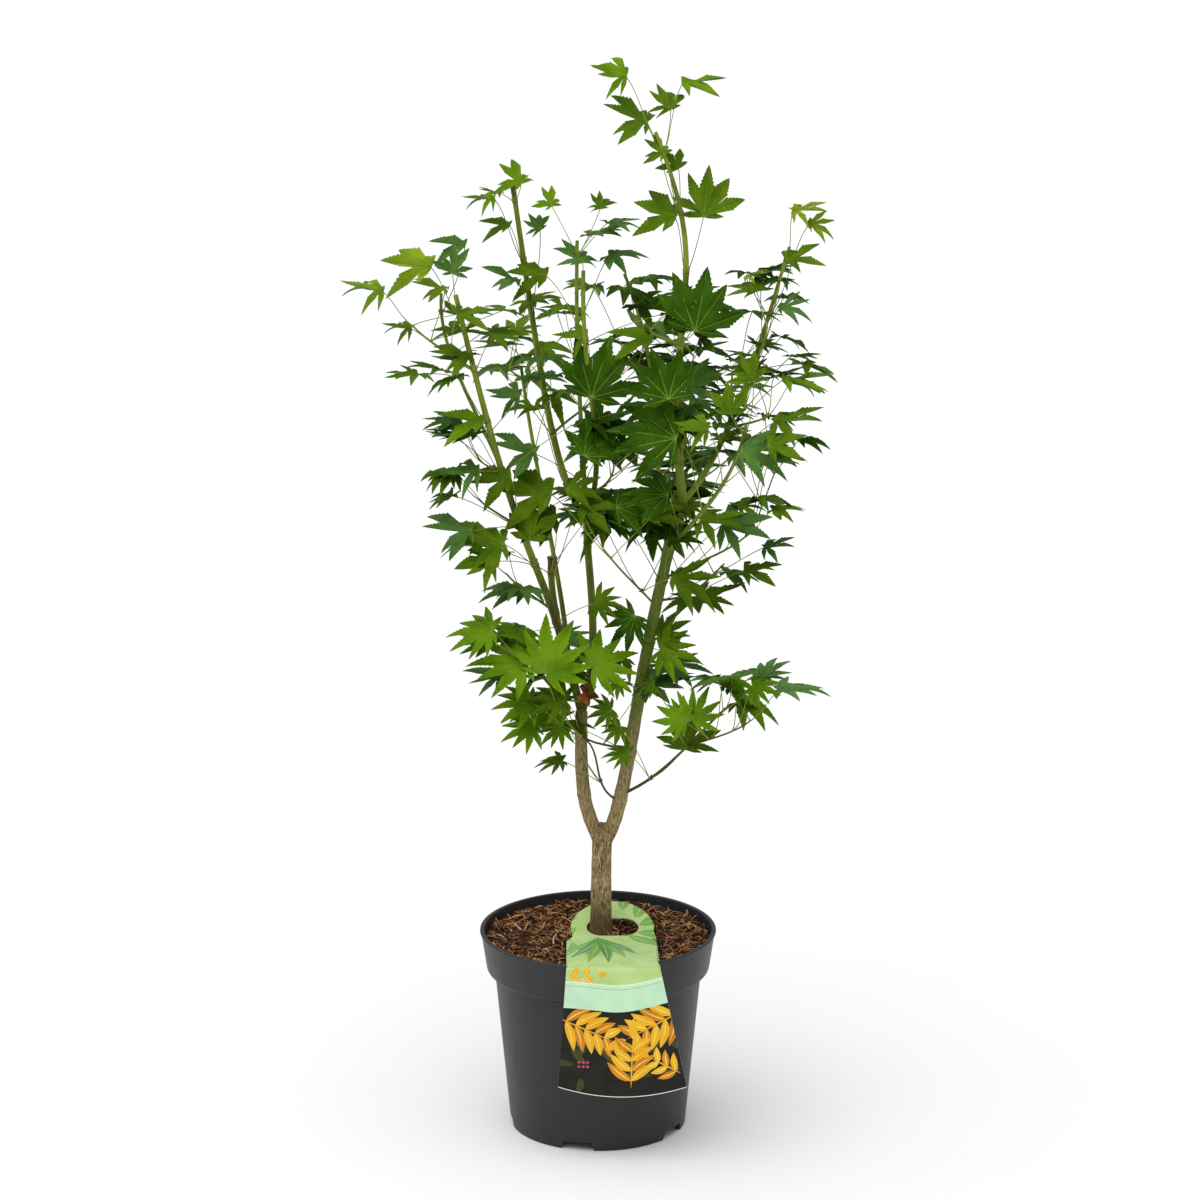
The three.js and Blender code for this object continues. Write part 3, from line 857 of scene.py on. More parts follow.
@dataclass
class CompostFill:
    """The compost: a lumpy top, plain sides down inside the pot, and strewn shreds of coir and bark."""

    pot: NurseryPot
    top: float = 156.8
    edge: float = 157.0
    clear: float = 0.3
    lumps: float = 3.0
    crumbs: float = 1.1
    rings: int = 46
    segments: int = 180
    strewn_radius: float = 86.5
    rim_slope: float = 5
    tag_middle: Flat = (12, -28)
    tag_shelter: Point = (39, -82, -9)
    dip: float = 4.2
    dip_reach: Flat = (13.2, 52.8)
    stem: Flat = (2, 8)
    stem_clear: float = 8.5
    bank: float = 1.6
    bank_reach: Flat = (9, 22)
    patch_rings: int = 24
    patch_segments: int = 96
    strand_count: int = 8

    def surface(self, x: float, y: float) -> float:
        """The height of the lumpy top, dipped under the tag and banked up at the stem.

        Args:
            x: across, from the pot's axis.
            y: back, from the pot's axis.

        Returns:
            The height.
        """
        spot = Vector((x, y, 0))
        rough = noise.noise(spot * 0.06) * self.lumps + noise.noise(spot * 0.35) * self.crumbs
        dip = self.dip * (1 - smooth(*self.dip_reach, dist((x, y), self.tag_middle)))
        bank = self.bank * (1 - smooth(*self.bank_reach, dist((x, y), self.stem)))
        return self.top + rough - dip + bank

    def build(self) -> None:
        """Builds the fill and the three kinds of shreds."""
        wall = [(radius, height) for radius, height, _ in self.pot.inside(self.clear)]
        rim = self.pot.inside_lip - self.clear - 0.8
        spots = [rim * (1 - ring / self.rings) for ring in range(self.rings)]
        profile = [(0, wall[0][1]), *wall, *((radius, self.edge) for radius in spots), (0, self.edge)]
        points, faces = spin(profile, self.segments)
        radius = np.hypot(points[:, 0], points[:, 1])
        for index in np.flatnonzero(points[:, 2] == self.edge):
            height = self.surface(points[index, 0], points[index, 1])
            share = smooth(0, self.rim_slope, rim - radius[index])
            points[index, 2] = self.edge + (height - self.edge) * share
        fill = mesh_of("compost_fill", points, faces)
        soil = Compost("dark_compost", "170c07", "4c2f1b", (420, 4, 1), (1260, 4, 1))
        settle(object_of(fill, soil.material()), ["compost"])
        self._strew()

    def _strew(self) -> None:
        """Scatters the shreds over a patch that keeps clear of the wall, the stem and the tag."""
        spots = [self.strewn_radius * (ring + 1) / self.patch_rings for ring in range(self.patch_rings)]
        profile = [(0, self.top - 1), *((spot, self.top) for spot in spots), (0, self.top + 1)]
        points, faces = spin(profile, self.patch_segments)
        points = points[:-2]
        points[:, 2] = [self.surface(x, y) + 0.2 for x, y, _ in points]
        half, front, back = self.tag_shelter
        open_faces = []
        for face in faces:
            if len(face) == 4:
                x, y = points[list(face)].mean(axis=0)[:2]
                sheltered = abs(x - self.tag_middle[0]) < half and front < y < back
                if dist((x, y), self.stem) > self.stem_clear and not sheltered:
                    open_faces.append(face[::-1])
        dark_bark = Compost("dark_bark_shreds", "1f1109", "603c22", (700, 4, 1), (2100, 4, 1))
        kinds = [
            ("coir_shreds", Compost("brown_coir", "8a522a", "d4965c"), 56000, (0.5, 1.4), 0.7, 3),
            ("bark_shreds", dark_bark, 40000, (0.7, 1.7), 0.5, 5),
            ("pale_shreds", Compost("pale_fibres", "c48a50", "f2c894"), 23000, (0.5, 1.7), 0.7, 7),
        ]
        strands = collection_of("strand", [self._strand(index) for index in range(self.strand_count)])
        tool = ScatterTool()
        for name, finish, density, (smallest, largest), tilt, seed in kinds:
            patch = mesh_of(name, points, open_faces)
            settle(tool.run(
                name, patch, finish, Shapes=strands, Density=float(density),
                Smallest=smallest, Largest=largest, Tilt=tilt, Seed=seed,
            ))

    @staticmethod
    def _strand(index: int) -> Mesh:
        """One curled shred: a thin three-sided strip along a bent line.

        Args:
            index: the shred's number, which seeds its shape.

        Returns:
            The shred's mesh.
        """
        rng = random.Random(SEED + index)
        length = rng.uniform(5, 11)
        width = rng.uniform(0.3, 0.85)
        bend = rng.uniform(-0.5, 0.5)
        lift = rng.uniform(0.4, 1.3)
        rings = []
        for share in (0, 0.25, 0.5, 0.75, 1):
            along = (share - 0.5) * length
            side = bend * length * 0.35 * sin(share * pi)
            up = lift * sin(share * pi) - 0.2
            half = width * (0.35 + 0.65 * sin(pi * (0.15 + 0.7 * share)))
            ridge = (along, side, up + 0.45 * width)
            rings.append([(along, side - half, up), (along, side + half, up), ridge])
        return mesh_of("strand", [spot for ring in rings for spot in ring], loft(rings))


# ---- plant tag ----


class Paint(Enum):
    """The printed colours of the tag, each a finish of its own."""

    CARD = Ink("card_edge", "f1f2ea", "e4e6dc")
    LIME = Ink("pale_green_print", "c3dd92", "b2d37f")
    FROND = Ink("frond_green_print", "86bd5c", "74ad52")
    DEEP = Ink("deep_green_print", "569558", "67a263")
    MINT = Ink("mint_print", "c9efc8", "bfe6c4")
    LINE = Ink("white_print", "f3f8ea", "e8f2dd")
    NIGHT = Ink("dark_print", "100f0b", "1d1b13")
    OLIVE = Ink("olive_print", "4e4d1c", "39401c")
    GOLD = Ink("gold_print", "f3bd20", "eaa918")
    AMBER = Ink("amber_print", "dd9016", "c97c14")
    CREAM = Ink("cream_print", "f8df74", "f1cd4a")
    ROSE = Ink("rose_print", "c8526a", "b0405c")


@dataclass
class Motif:
    """A printed shape on the flat tag: its outline and its paint."""

    outline: np.ndarray
    paint: Paint

    def holds(self, spots: np.ndarray) -> np.ndarray:
        """Which of the spots lie inside the outline.

        Args:
            spots: flat points.

        Returns:
            True or false for each.
        """
        inside = np.zeros(len(spots), bool)
        ends = np.roll(self.outline, -1, axis=0)
        for (x0, y0), (x1, y1) in zip(self.outline, ends):
            crosses = (y0 > spots[:, 1]) != (y1 > spots[:, 1])
            rise = (spots[:, 1] - y0) / (y1 - y0 if y1 != y0 else 1)
            inside ^= crosses & (spots[:, 0] < x0 + rise * (x1 - x0))
        return inside


def pointed_oval(foot: Flat, length: float, width: float, angle: float, paint: Paint,
                 bend: float = 0.0) -> Motif:
    """A slim leaf outline that starts at its foot and ends in a point.

    Args:
        foot: where the shape starts.
        length: from foot to point.
        width: at its widest.
        angle: its heading in degrees, 0 to the right.
        paint: its colour.
        bend: how far the middle is pushed aside, as a share of the length.

    Returns:
        The motif.
    """
    shares = np.linspace(0, 1, 10)
    half = width / 2 * np.sin(np.pi * shares ** 0.8) ** 0.85
    spine = bend * length * np.sin(np.pi * shares)
    along = np.concatenate([shares, shares[-2:0:-1]]) * length
    across = np.concatenate([spine + half, (spine - half)[-2:0:-1]])
    turn = radians(angle)
    x = foot[0] + along * cos(turn) - across * sin(turn)
    y = foot[1] + along * sin(turn) + across * cos(turn)
    return Motif(np.column_stack([x, y]), paint)


def disc(middle: Flat, radius: float, paint: Paint, sides: int = 20) -> Motif:
    """A round printed spot."""
    turns = np.arange(sides) * 2 * pi / sides
    return Motif(np.column_stack([np.cos(turns), np.sin(turns)]) * radius + middle, paint)


@dataclass
class PlantTag:
    """The card tag: it hangs down the pot's front, folds over the lip and has a round head with a hole."""

    thickness: float = 0.7
    hang: float = 98
    fold_radius: float = 3
    standoff: float = 2.2
    curl: float = 4
    gap: float = 0.3
    lip_radius: float = 95
    lip_top: float = 164
    lip_inside: float = -73
    head_start: Flat = (-14.4, 157.3)
    slopes: Flat = (8, 26)
    reaches: Flat = (-22, 33)
    bottom: Flat = (-31.6, 70.3)
    bow: float = 7
    fold: Flat = (-23.5, 49.5)
    head_x: float = 11.5
    head_radius: float = 33.5
    hole: Point = (11.8, 21, 12.6)
    lattice: float = 4.0
    swing: float = 11
    sharp_angle: float = 50
    line: np.ndarray = field(init=False)
    reach: np.ndarray = field(init=False)

    def __post_init__(self) -> None:
        """Lays out the centre line and the distance along it."""
        radius = self.fold_radius
        fold_y = radius - self.lip_radius - self.standoff - self.thickness / 2
        top = self.lip_top + self.gap + self.thickness / 2
        rows = [(fold_y - radius, top - radius - self.hang - 2 * self.bow), (fold_y - radius, top - radius)]
        for degrees in range(10, 91, 10):
            turn = radians(degrees)
            rows.append((fold_y - radius * cos(turn), top - radius + radius * sin(turn)))
        rows += [(self.lip_inside, top), self.head_start]
        y, z = self.head_start
        for step in range(1, 12):
            slope = radians(self.slopes[0] + (self.slopes[1] - self.slopes[0]) * (step - 0.5) / 11)
            advance = (self.reaches[1] - self.reaches[0]) / 11
            y += advance * cos(slope)
            z += advance * sin(slope)
            rows.append((y, z))
        self.line = np.array(rows)
        steps = np.hypot(*np.diff(self.line, axis=0).T)
        self.reach = np.concatenate([[0], np.cumsum(steps)]) - 2 * self.bow

    @property
    def head_y(self) -> float:
        """How far along the tag the middle of the head lies."""
        return float(self.reach[-1]) - self.reaches[1]

    def place(self, flat: np.ndarray, lift: float) -> np.ndarray:
        """Bends flat points onto the tag.

        Args:
            flat: distance across and along, in millimetres.
            lift: height above the middle of the card.

        Returns:
            The points in space.
        """
        def at(along: np.ndarray) -> list[np.ndarray]:
            """The centre line's place, back and up, so far along."""
            return [np.interp(along, self.reach, part) for part in self.line.T]

        y, z = at(flat[:, 1])
        before = at(np.maximum(flat[:, 1] - 1.5, self.reach[0]))
        after = at(np.minimum(flat[:, 1] + 1.5, self.reach[-1]))
        length = np.hypot(after[0] - before[0], after[1] - before[1])
        out_y = -(after[1] - before[1]) / length
        out_z = (after[0] - before[0]) / length
        middle = sum(self.bottom) / 2
        side = ((flat[:, 0] - middle) / (self.bottom[1] - middle)) ** 2
        down = np.clip(1 - flat[:, 1] / self.hang, 0, 1)
        return np.column_stack([flat[:, 0], y + self.curl * down * side + lift * out_y, z + lift * out_z])

    def outline(self) -> np.ndarray:
        """Lays out the flat tag's edge.

        Returns:
            Its points, anticlockwise from the lower left corner.
        """
        middle = sum(self.bottom) / 2
        half = self.bottom[1] - middle
        base = np.linspace(self.bottom[0], self.bottom[1], 26)
        edge = [(x, self.bow * (((x - middle) / half) ** 2 - 1)) for x in base]
        edge += [(self.fold[1], self.hang), (46.4, self.head_y - 14)]
        for degrees in range(-8, 200, 6):
            turn = radians(degrees)
            x, y = self.head_radius * cos(turn), self.head_radius * sin(turn)
            edge.append((self.head_x + x, self.head_y + y))
        notch = self.head_y - 15
        edge += [(-20.6, notch), (-23.6, notch - 3.5), (-25.2, notch - 8), (self.fold[0] - 1.5, self.hang)]
        return np.array(edge)

    def hole_edge(self) -> np.ndarray:
        """Lays out the flat hole: a slot with round ends.

        Returns:
            The points of its edge.
        """
        middle, half_width, radius = self.hole
        edge = []
        for side, first in ((1, -90), (-1, 90)):
            x = middle + side * (half_width - radius)
            for degrees in range(first, first + 181, 12):
                turn = radians(degrees)
                edge.append((x + radius * cos(turn), self.head_y + radius * sin(turn)))
        return np.array(edge)

    def wave(self, level: float, swing: float) -> np.ndarray:
        """A wavy line right across the tag.

        Args:
            level: its height at the left.
            swing: how far it rises to the right.

        Returns:
            Its points.
        """
        across = np.linspace(-45, 85, 60)
        share = (across + 31) / 95
        rise = smooth(0.4, 1.05, share) + 0.25 * np.cos(share * 4.2)
        return np.column_stack([across, level + swing * rise])

    def band(self, low: float, high: float, swing: float, paint: Paint) -> Motif:
        """A wavy band right across the tag."""
        return Motif(np.vstack([self.wave(low, swing), self.wave(high, swing)[::-1]]), paint)

    def artwork(self) -> list[Motif]:
        """Lays out the print: green blades above a wavy band, golden sprigs below.

        Returns:
            The motifs, from the bottom layer up.
        """
        prints = [self.band(-30, 65, self.swing, Paint.NIGHT)]
        for foot, length, width, angle in (
            ((30, 218), 44, 14, 60), ((33, 208), 42, 13, 24), ((31, 198), 48, 13, -16),
            ((24, 194), 52, 12, -46), ((-12, 228), 28, 9, 112), ((-18, 206), 34, 8, 232),
            ((4, 238), 22, 7, 84), ((20, 228), 30, 11, 78), ((-16, 218), 22, 7, 168),
            ((-20, 180), 58, 7, 262), ((-14, 176), 46, 6, 276),
        ):
            prints.append(pointed_oval(foot, length, width, angle, Paint.FROND, 0.06))
            prints.append(pointed_oval(foot, length * 0.9, 0.9, angle, Paint.LIME, 0.06))
        for index in range(6):
            paint = Paint.DEEP if index % 2 else Paint.FROND
            length, angle = 84 - 9 * abs(index - 2.5), 240 + index * 12
            prints.append(pointed_oval((0, 190), length, 9.5, angle, paint, 0.03))
            prints.append(pointed_oval((0, 190), length * 0.9, 0.9, angle, Paint.LIME, 0.03))
        prints += self.sprig((-24, 92), 8, 24, 2, 11, (Paint.GOLD,), 4.5)
        rng = random.Random(SEED)
        for _ in range(14):
            spot = (rng.uniform(-28, 62), rng.uniform(2, 58))
            length, angle = rng.uniform(14, 26), rng.uniform(0, 360)
            prints.append(pointed_oval(spot, length, 5.5, angle, Paint.OLIVE, 0.08))
        gold = (Paint.GOLD, Paint.AMBER, Paint.GOLD)
        for foot, angle, length, pairs, leaf, width in (
            ((-33, 60), -24, 52, 5, 26, 7.2), ((68, 66), 208, 52, 5, 27, 7.4),
            ((26, 0), 88, 42, 4, 25, 7.2), ((66, 12), 150, 30, 3, 16, 5.6),
        ):
            prints += self.sprig(foot, angle, length, pairs, leaf, gold, width)
        for index in range(6):
            prints.append(disc((-15 + 3.4 * (index % 3), 22 - 3.6 * (index // 3)), 1.2, Paint.ROSE, 12))
        for low, high, paint in ((65, 87, Paint.MINT), (86.6, 87.5, Paint.LINE), (83.6, 84, Paint.FROND)):
            prints.append(self.band(low, high, self.swing, paint))
        edge = self.outline()[:26]
        prints.append(Motif(np.vstack([edge - [0, 1], (edge + [0, 0.6])[::-1]]), Paint.LINE))
        return prints

    @staticmethod
    def sprig(foot: Flat, angle: float, length: float, pairs: int, leaf: float,
              paints: Sequence[Paint], width: float) -> list[Motif]:
        """A printed sprig: slim leaves in pairs along a straight stalk, with one at its end.

        Args:
            foot: where the stalk starts.
            angle: the stalk's heading in degrees.
            length: the stalk's length.
            pairs: how many pairs of leaves.
            leaf: the longest leaf's length.
            paints: the leaves' colours, taken in turn.
            width: a leaf's width.

        Returns:
            The motifs, from the bottom layer up.
        """
        turn = radians(angle)
        prints = [pointed_oval(foot, length, 1.2, angle, paints[-1])]
        for index in range(pairs):
            along = length * (0.16 + 0.8 * index / pairs)
            spot = (foot[0] + along * cos(turn), foot[1] + along * sin(turn))
            size = leaf * (1 - 0.09 * index)
            for side in (52, -52):
                paint = paints[(index + (side > 0)) % len(paints)]
                prints.append(pointed_oval(spot, size, width, angle + side, paint, 0.05))
                if paint in (Paint.GOLD, Paint.AMBER):
                    prints.append(pointed_oval(spot, size * 0.85, 1.1, angle + side, Paint.CREAM, 0.05))
        end = (foot[0] + length * cos(turn), foot[1] + length * sin(turn))
        prints.append(pointed_oval(end, leaf * 0.7, width, angle, paints[0]))
        return prints

    def build(self) -> None:
        """Builds the card as one closed sheet whose faces carry the print's materials."""
        edge, hole, prints = self.outline(), self.hole_edge(), self.artwork()
        loops = [edge, hole, *(motif.outline for motif in prints)]
        spots = [tuple(spot) for loop in loops for spot in loop]
        edges = []
        start = 0
        for loop in loops:
            edges.extend((start + k, start + (k + 1) % len(loop)) for k in range(len(loop)))
            start += len(loop)
        rim = Motif(edge, Paint.CARD)
        for x in np.arange(self.bottom[0] - 2, self.bottom[1] + 2, self.lattice):
            for y in np.arange(-self.bow, self.reach[-1], self.lattice):
                spots.append((float(x), float(y)))
        for y in np.arange(self.hang - 1, self.hang + 7, 0.9):
            spots.extend((float(x), float(y)) for x in np.arange(-24, 50, self.lattice))
        points, _, faces, *_ = delaunay_2d_cdt([Vector(spot) for spot in spots], edges, [], 0, 1e-4)
        flat = np.array([tuple(point) for point in points])
        middles = np.array([flat[list(face)].mean(axis=0) for face in faces])
        kept = rim.holds(middles) & ~Motif(hole, Paint.CARD).holds(middles)
        paints = list(Paint)
        chosen = np.full(len(faces), paints.index(Paint.LIME))
        for motif in prints:
            chosen[motif.holds(middles)] = paints.index(motif.paint)
        self._sheet(flat, [faces[k] for k in np.flatnonzero(kept)], chosen[kept], paints)

    def _sheet(self, flat: np.ndarray, faces: list, chosen: np.ndarray, paints: list[Paint]) -> None:
        """Closes the sheet with a back and an edge, and settles the piece.

        Args:
            flat: the flat points.
            faces: the triangles of the printed side.
            chosen: the paint of each triangle.
            paints: the paints in order.
        """
        used = sorted({corner for face in faces for corner in face})
        number = {corner: index for index, corner in enumerate(used)}
        spots = flat[used]
        count = len(used)
        points = np.vstack([self.place(spots, lift) for lift in (self.thickness / 2, -self.thickness / 2)])
        top = [tuple(number[corner] for corner in face) for face in faces]
        back = [tuple(count + corner for corner in reversed(face)) for face in top]
        sides = {(face[k], face[(k + 1) % 3]) for face in top for k in range(3)}
        walls = [(b, a, count + a, count + b) for a, b in sides if (b, a) not in sides]
        mesh = mesh_of("plant_tag_card", points, top + back + walls)
        card = object_of(mesh, *(paint.value.material() for paint in paints))
        slots = np.zeros(len(mesh.polygons), int)
        slots[:len(top)] = chosen
        mesh.polygons.foreach_set("material_index", slots)
        mesh.set_sharp_from_angle(angle=radians(self.sharp_angle))
        settle(card, ["plant_tag"])


# ---- limbs ----


class Skin(Enum):
    """What covers a limb."""

    BARK = "bark"
    GREEN = "green"
    TWIG = "twig"


@dataclass
class Limb:
    """One limb: it leaves its parent at a share of the parent's length, on a smooth curve."""

    name: str
    parent: str | None
    at: float
    tip: Point
    out: Point
    into: Point
    thick: Flat
    skin: Skin
    base: Point = (0, 0, 0)
    spacing: float = 46
    line: np.ndarray = field(init=False, repr=False)
    along: np.ndarray = field(init=False, repr=False)

    def lay(self, limbs: dict[str, "Limb"]) -> None:
        """Lays the limb's line out, starting on its parent.

        Args:
            limbs: the limbs that are laid out already, by name.
        """
        foot = limbs[self.parent].point(self.at) if self.parent else Vector(self.base)
        tip = Vector(self.tip)
        leave, arrive = foot + Vector(self.out), tip - Vector(self.into)
        self.line = np.array([bezier(foot, leave, arrive, tip, k / 300) for k in range(301)])
        steps = np.linalg.norm(np.diff(self.line, axis=0), axis=1)
        self.along = np.concatenate([[0], np.cumsum(steps)])

    @property
    def length(self) -> float:
        """The limb's length along its curve."""
        return float(self.along[-1])

    def point(self, share: float) -> Vector:
        """The point at a share of the length."""
        spot = share * self.length
        return Vector([float(np.interp(spot, self.along, self.line[:, axis])) for axis in range(3)])

    def heading(self, share: float) -> Vector:
        """The limb's direction at a share of the length."""
        return (self.point(min(1, share + 0.01)) - self.point(max(0, share - 0.01))).normalized()

    def joints(self) -> list[float]:
        """Spaces out the ringed leaf nodes.

        Returns:
            The shares of the length at which they lie.
        """
        count = max(2, round(self.length / self.spacing))
        rng = random.Random(self.name)
        return [min(1.0, (k + 0.7 + rng.uniform(-0.12, 0.12)) / count) for k in range(count)]

    def radius(self, share: float) -> float:
        """The radius, with the flare of the foot, the collar of a side limb and the swollen nodes.

        Args:
            share: where, as a share of the length.

        Returns:
            The radius there.
        """
        plain_radius = (self.thick[0] + (self.thick[1] - self.thick[0]) * share) / 2
        run = share * self.length
        if self.parent is None:
            return plain_radius * (1 + 0.2 * max(0.0, 1 - run / 14) ** 2)
        collar = 0.22 * exp(-((run / 7) ** 2)) if self.at < 1 else 0.0
        swell = sum(exp(-(((share - joint) * self.length / 2.4) ** 2)) for joint in self.joints())
        return plain_radius * (1 + collar) + min(0.55, 0.14 * plain_radius) * min(swell, 1.0)

    def stroke(self, step: float) -> Stroke:
        """The limb as a line with its thickness.

        Args:
            step: how far apart its points may lie.

        Returns:
            The stroke.
        """
        count = max(6, ceil(self.length / step))
        shares = [k / count for k in range(count + 1)]
        return Stroke([self.point(share) for share in shares], [self.radius(share) for share in shares])


BARK, GREEN, TWIG = Skin.BARK, Skin.GREEN, Skin.TWIG
LIMBS = [
    Limb("trunk", None, 0, (4, 6, 247), (1, 1, 30), (2, -2, 30), (17.8, 15.4), BARK, base=(2, 8, 155.9)),
    Limb("left_stem", "trunk", 0.88, (-13, -2, 345), (-18, -1, 22), (1, 3, 38), (11.4, 9.6), BARK),
    Limb("right_stem", "trunk", 0.88, (66, -30, 524), (22, -4, 16), (38, -12, 130), (11.6, 8.2), BARK),
    Limb("middle_stem", "left_stem", 1, (-9, 44, 490), (18, 23, 48), (1, 6, 30), (6.4, 5.8), GREEN),
    Limb("left_bough", "left_stem", 1, (-109, -40, 690), (-38, 33, 150), (-56, -8, 250), (6.8, 3.8), GREEN),
    Limb("left_stub", "left_bough", 0.18, (-37, 24, 463), (-4, 10, 17), (1, 0, 21), (5.6, 5.2), GREEN),
    Limb("left_shoot", "left_bough", 0.59, (-122, 18, 680), (-13, 36, 30), (5, -2, 47), (3.2, 2.4), GREEN),
    Limb("tall_stub", "middle_stem", 1, (-67, 80, 753), (-27, 6, 40), (-24, -17, 176), (5.8, 4), GREEN),
    Limb("centre_bough", "middle_stem", 1, (-11, -66, 714), (20, -38, 75), (3, 3, 95), (4.6, 3.2), GREEN),
    Limb("centre_shoot", "middle_stem", 1, (-16, 0, 725), (-4, -9, 80), (2, 3, 84), (4, 2.8), GREEN),
    Limb("leader", "right_stem", 1, (44, -16, 812), (-19, -22, 170), (-49, 28, 118), (7.4, 2.8), GREEN),
    Limb("right_bough", "right_stem", 1, (150, 44, 712), (40, 62, 29), (20, 13, 65), (5, 2.6), GREEN),
    Limb("back_bough", "right_stem", 0.86, (21, 98, 680), (-15, 78, 45), (-36, -1, 88), (4.4, 2.6), GREEN),
    Limb("front_bough", "right_stem", 0.86, (112, -108, 604), (13, -44, 33), (8, 2, 51), (4, 2.4), GREEN),
    Limb("low_right_twig", "right_stem", 0.15, (104, -54, 368), (35, -18, 20), (30, -9, 30), (2.6, 1.8),
         TWIG),
    Limb("rear_bough", "right_stem", 0.47, (78, 128, 590), (10, 55, 50), (12, 20, 80), (4.6, 2.6), GREEN),
    Limb("rear_left_bough", "left_bough", 0.11, (-62, 122, 600), (-4, 50, 50), (-10, 16, 80), (4.4, 2.6),
         GREEN),
    Limb("low_left_twig", "right_stem", 0.13, (-20, -40, 340), (-28, -9, 13), (-30, -7, 10), (1.9, 1.4),
         TWIG),
    Limb("side_right_twig", "right_stem", 0.72, (100, 16, 463), (27, 4, -1), (17, 9, 15), (2, 1.5), TWIG),
    Limb("cross_twig", "right_stem", 0.7, (4, -84, 501), (-11, -24, 21), (-17, -14, 27), (2, 1.5), TWIG),
]


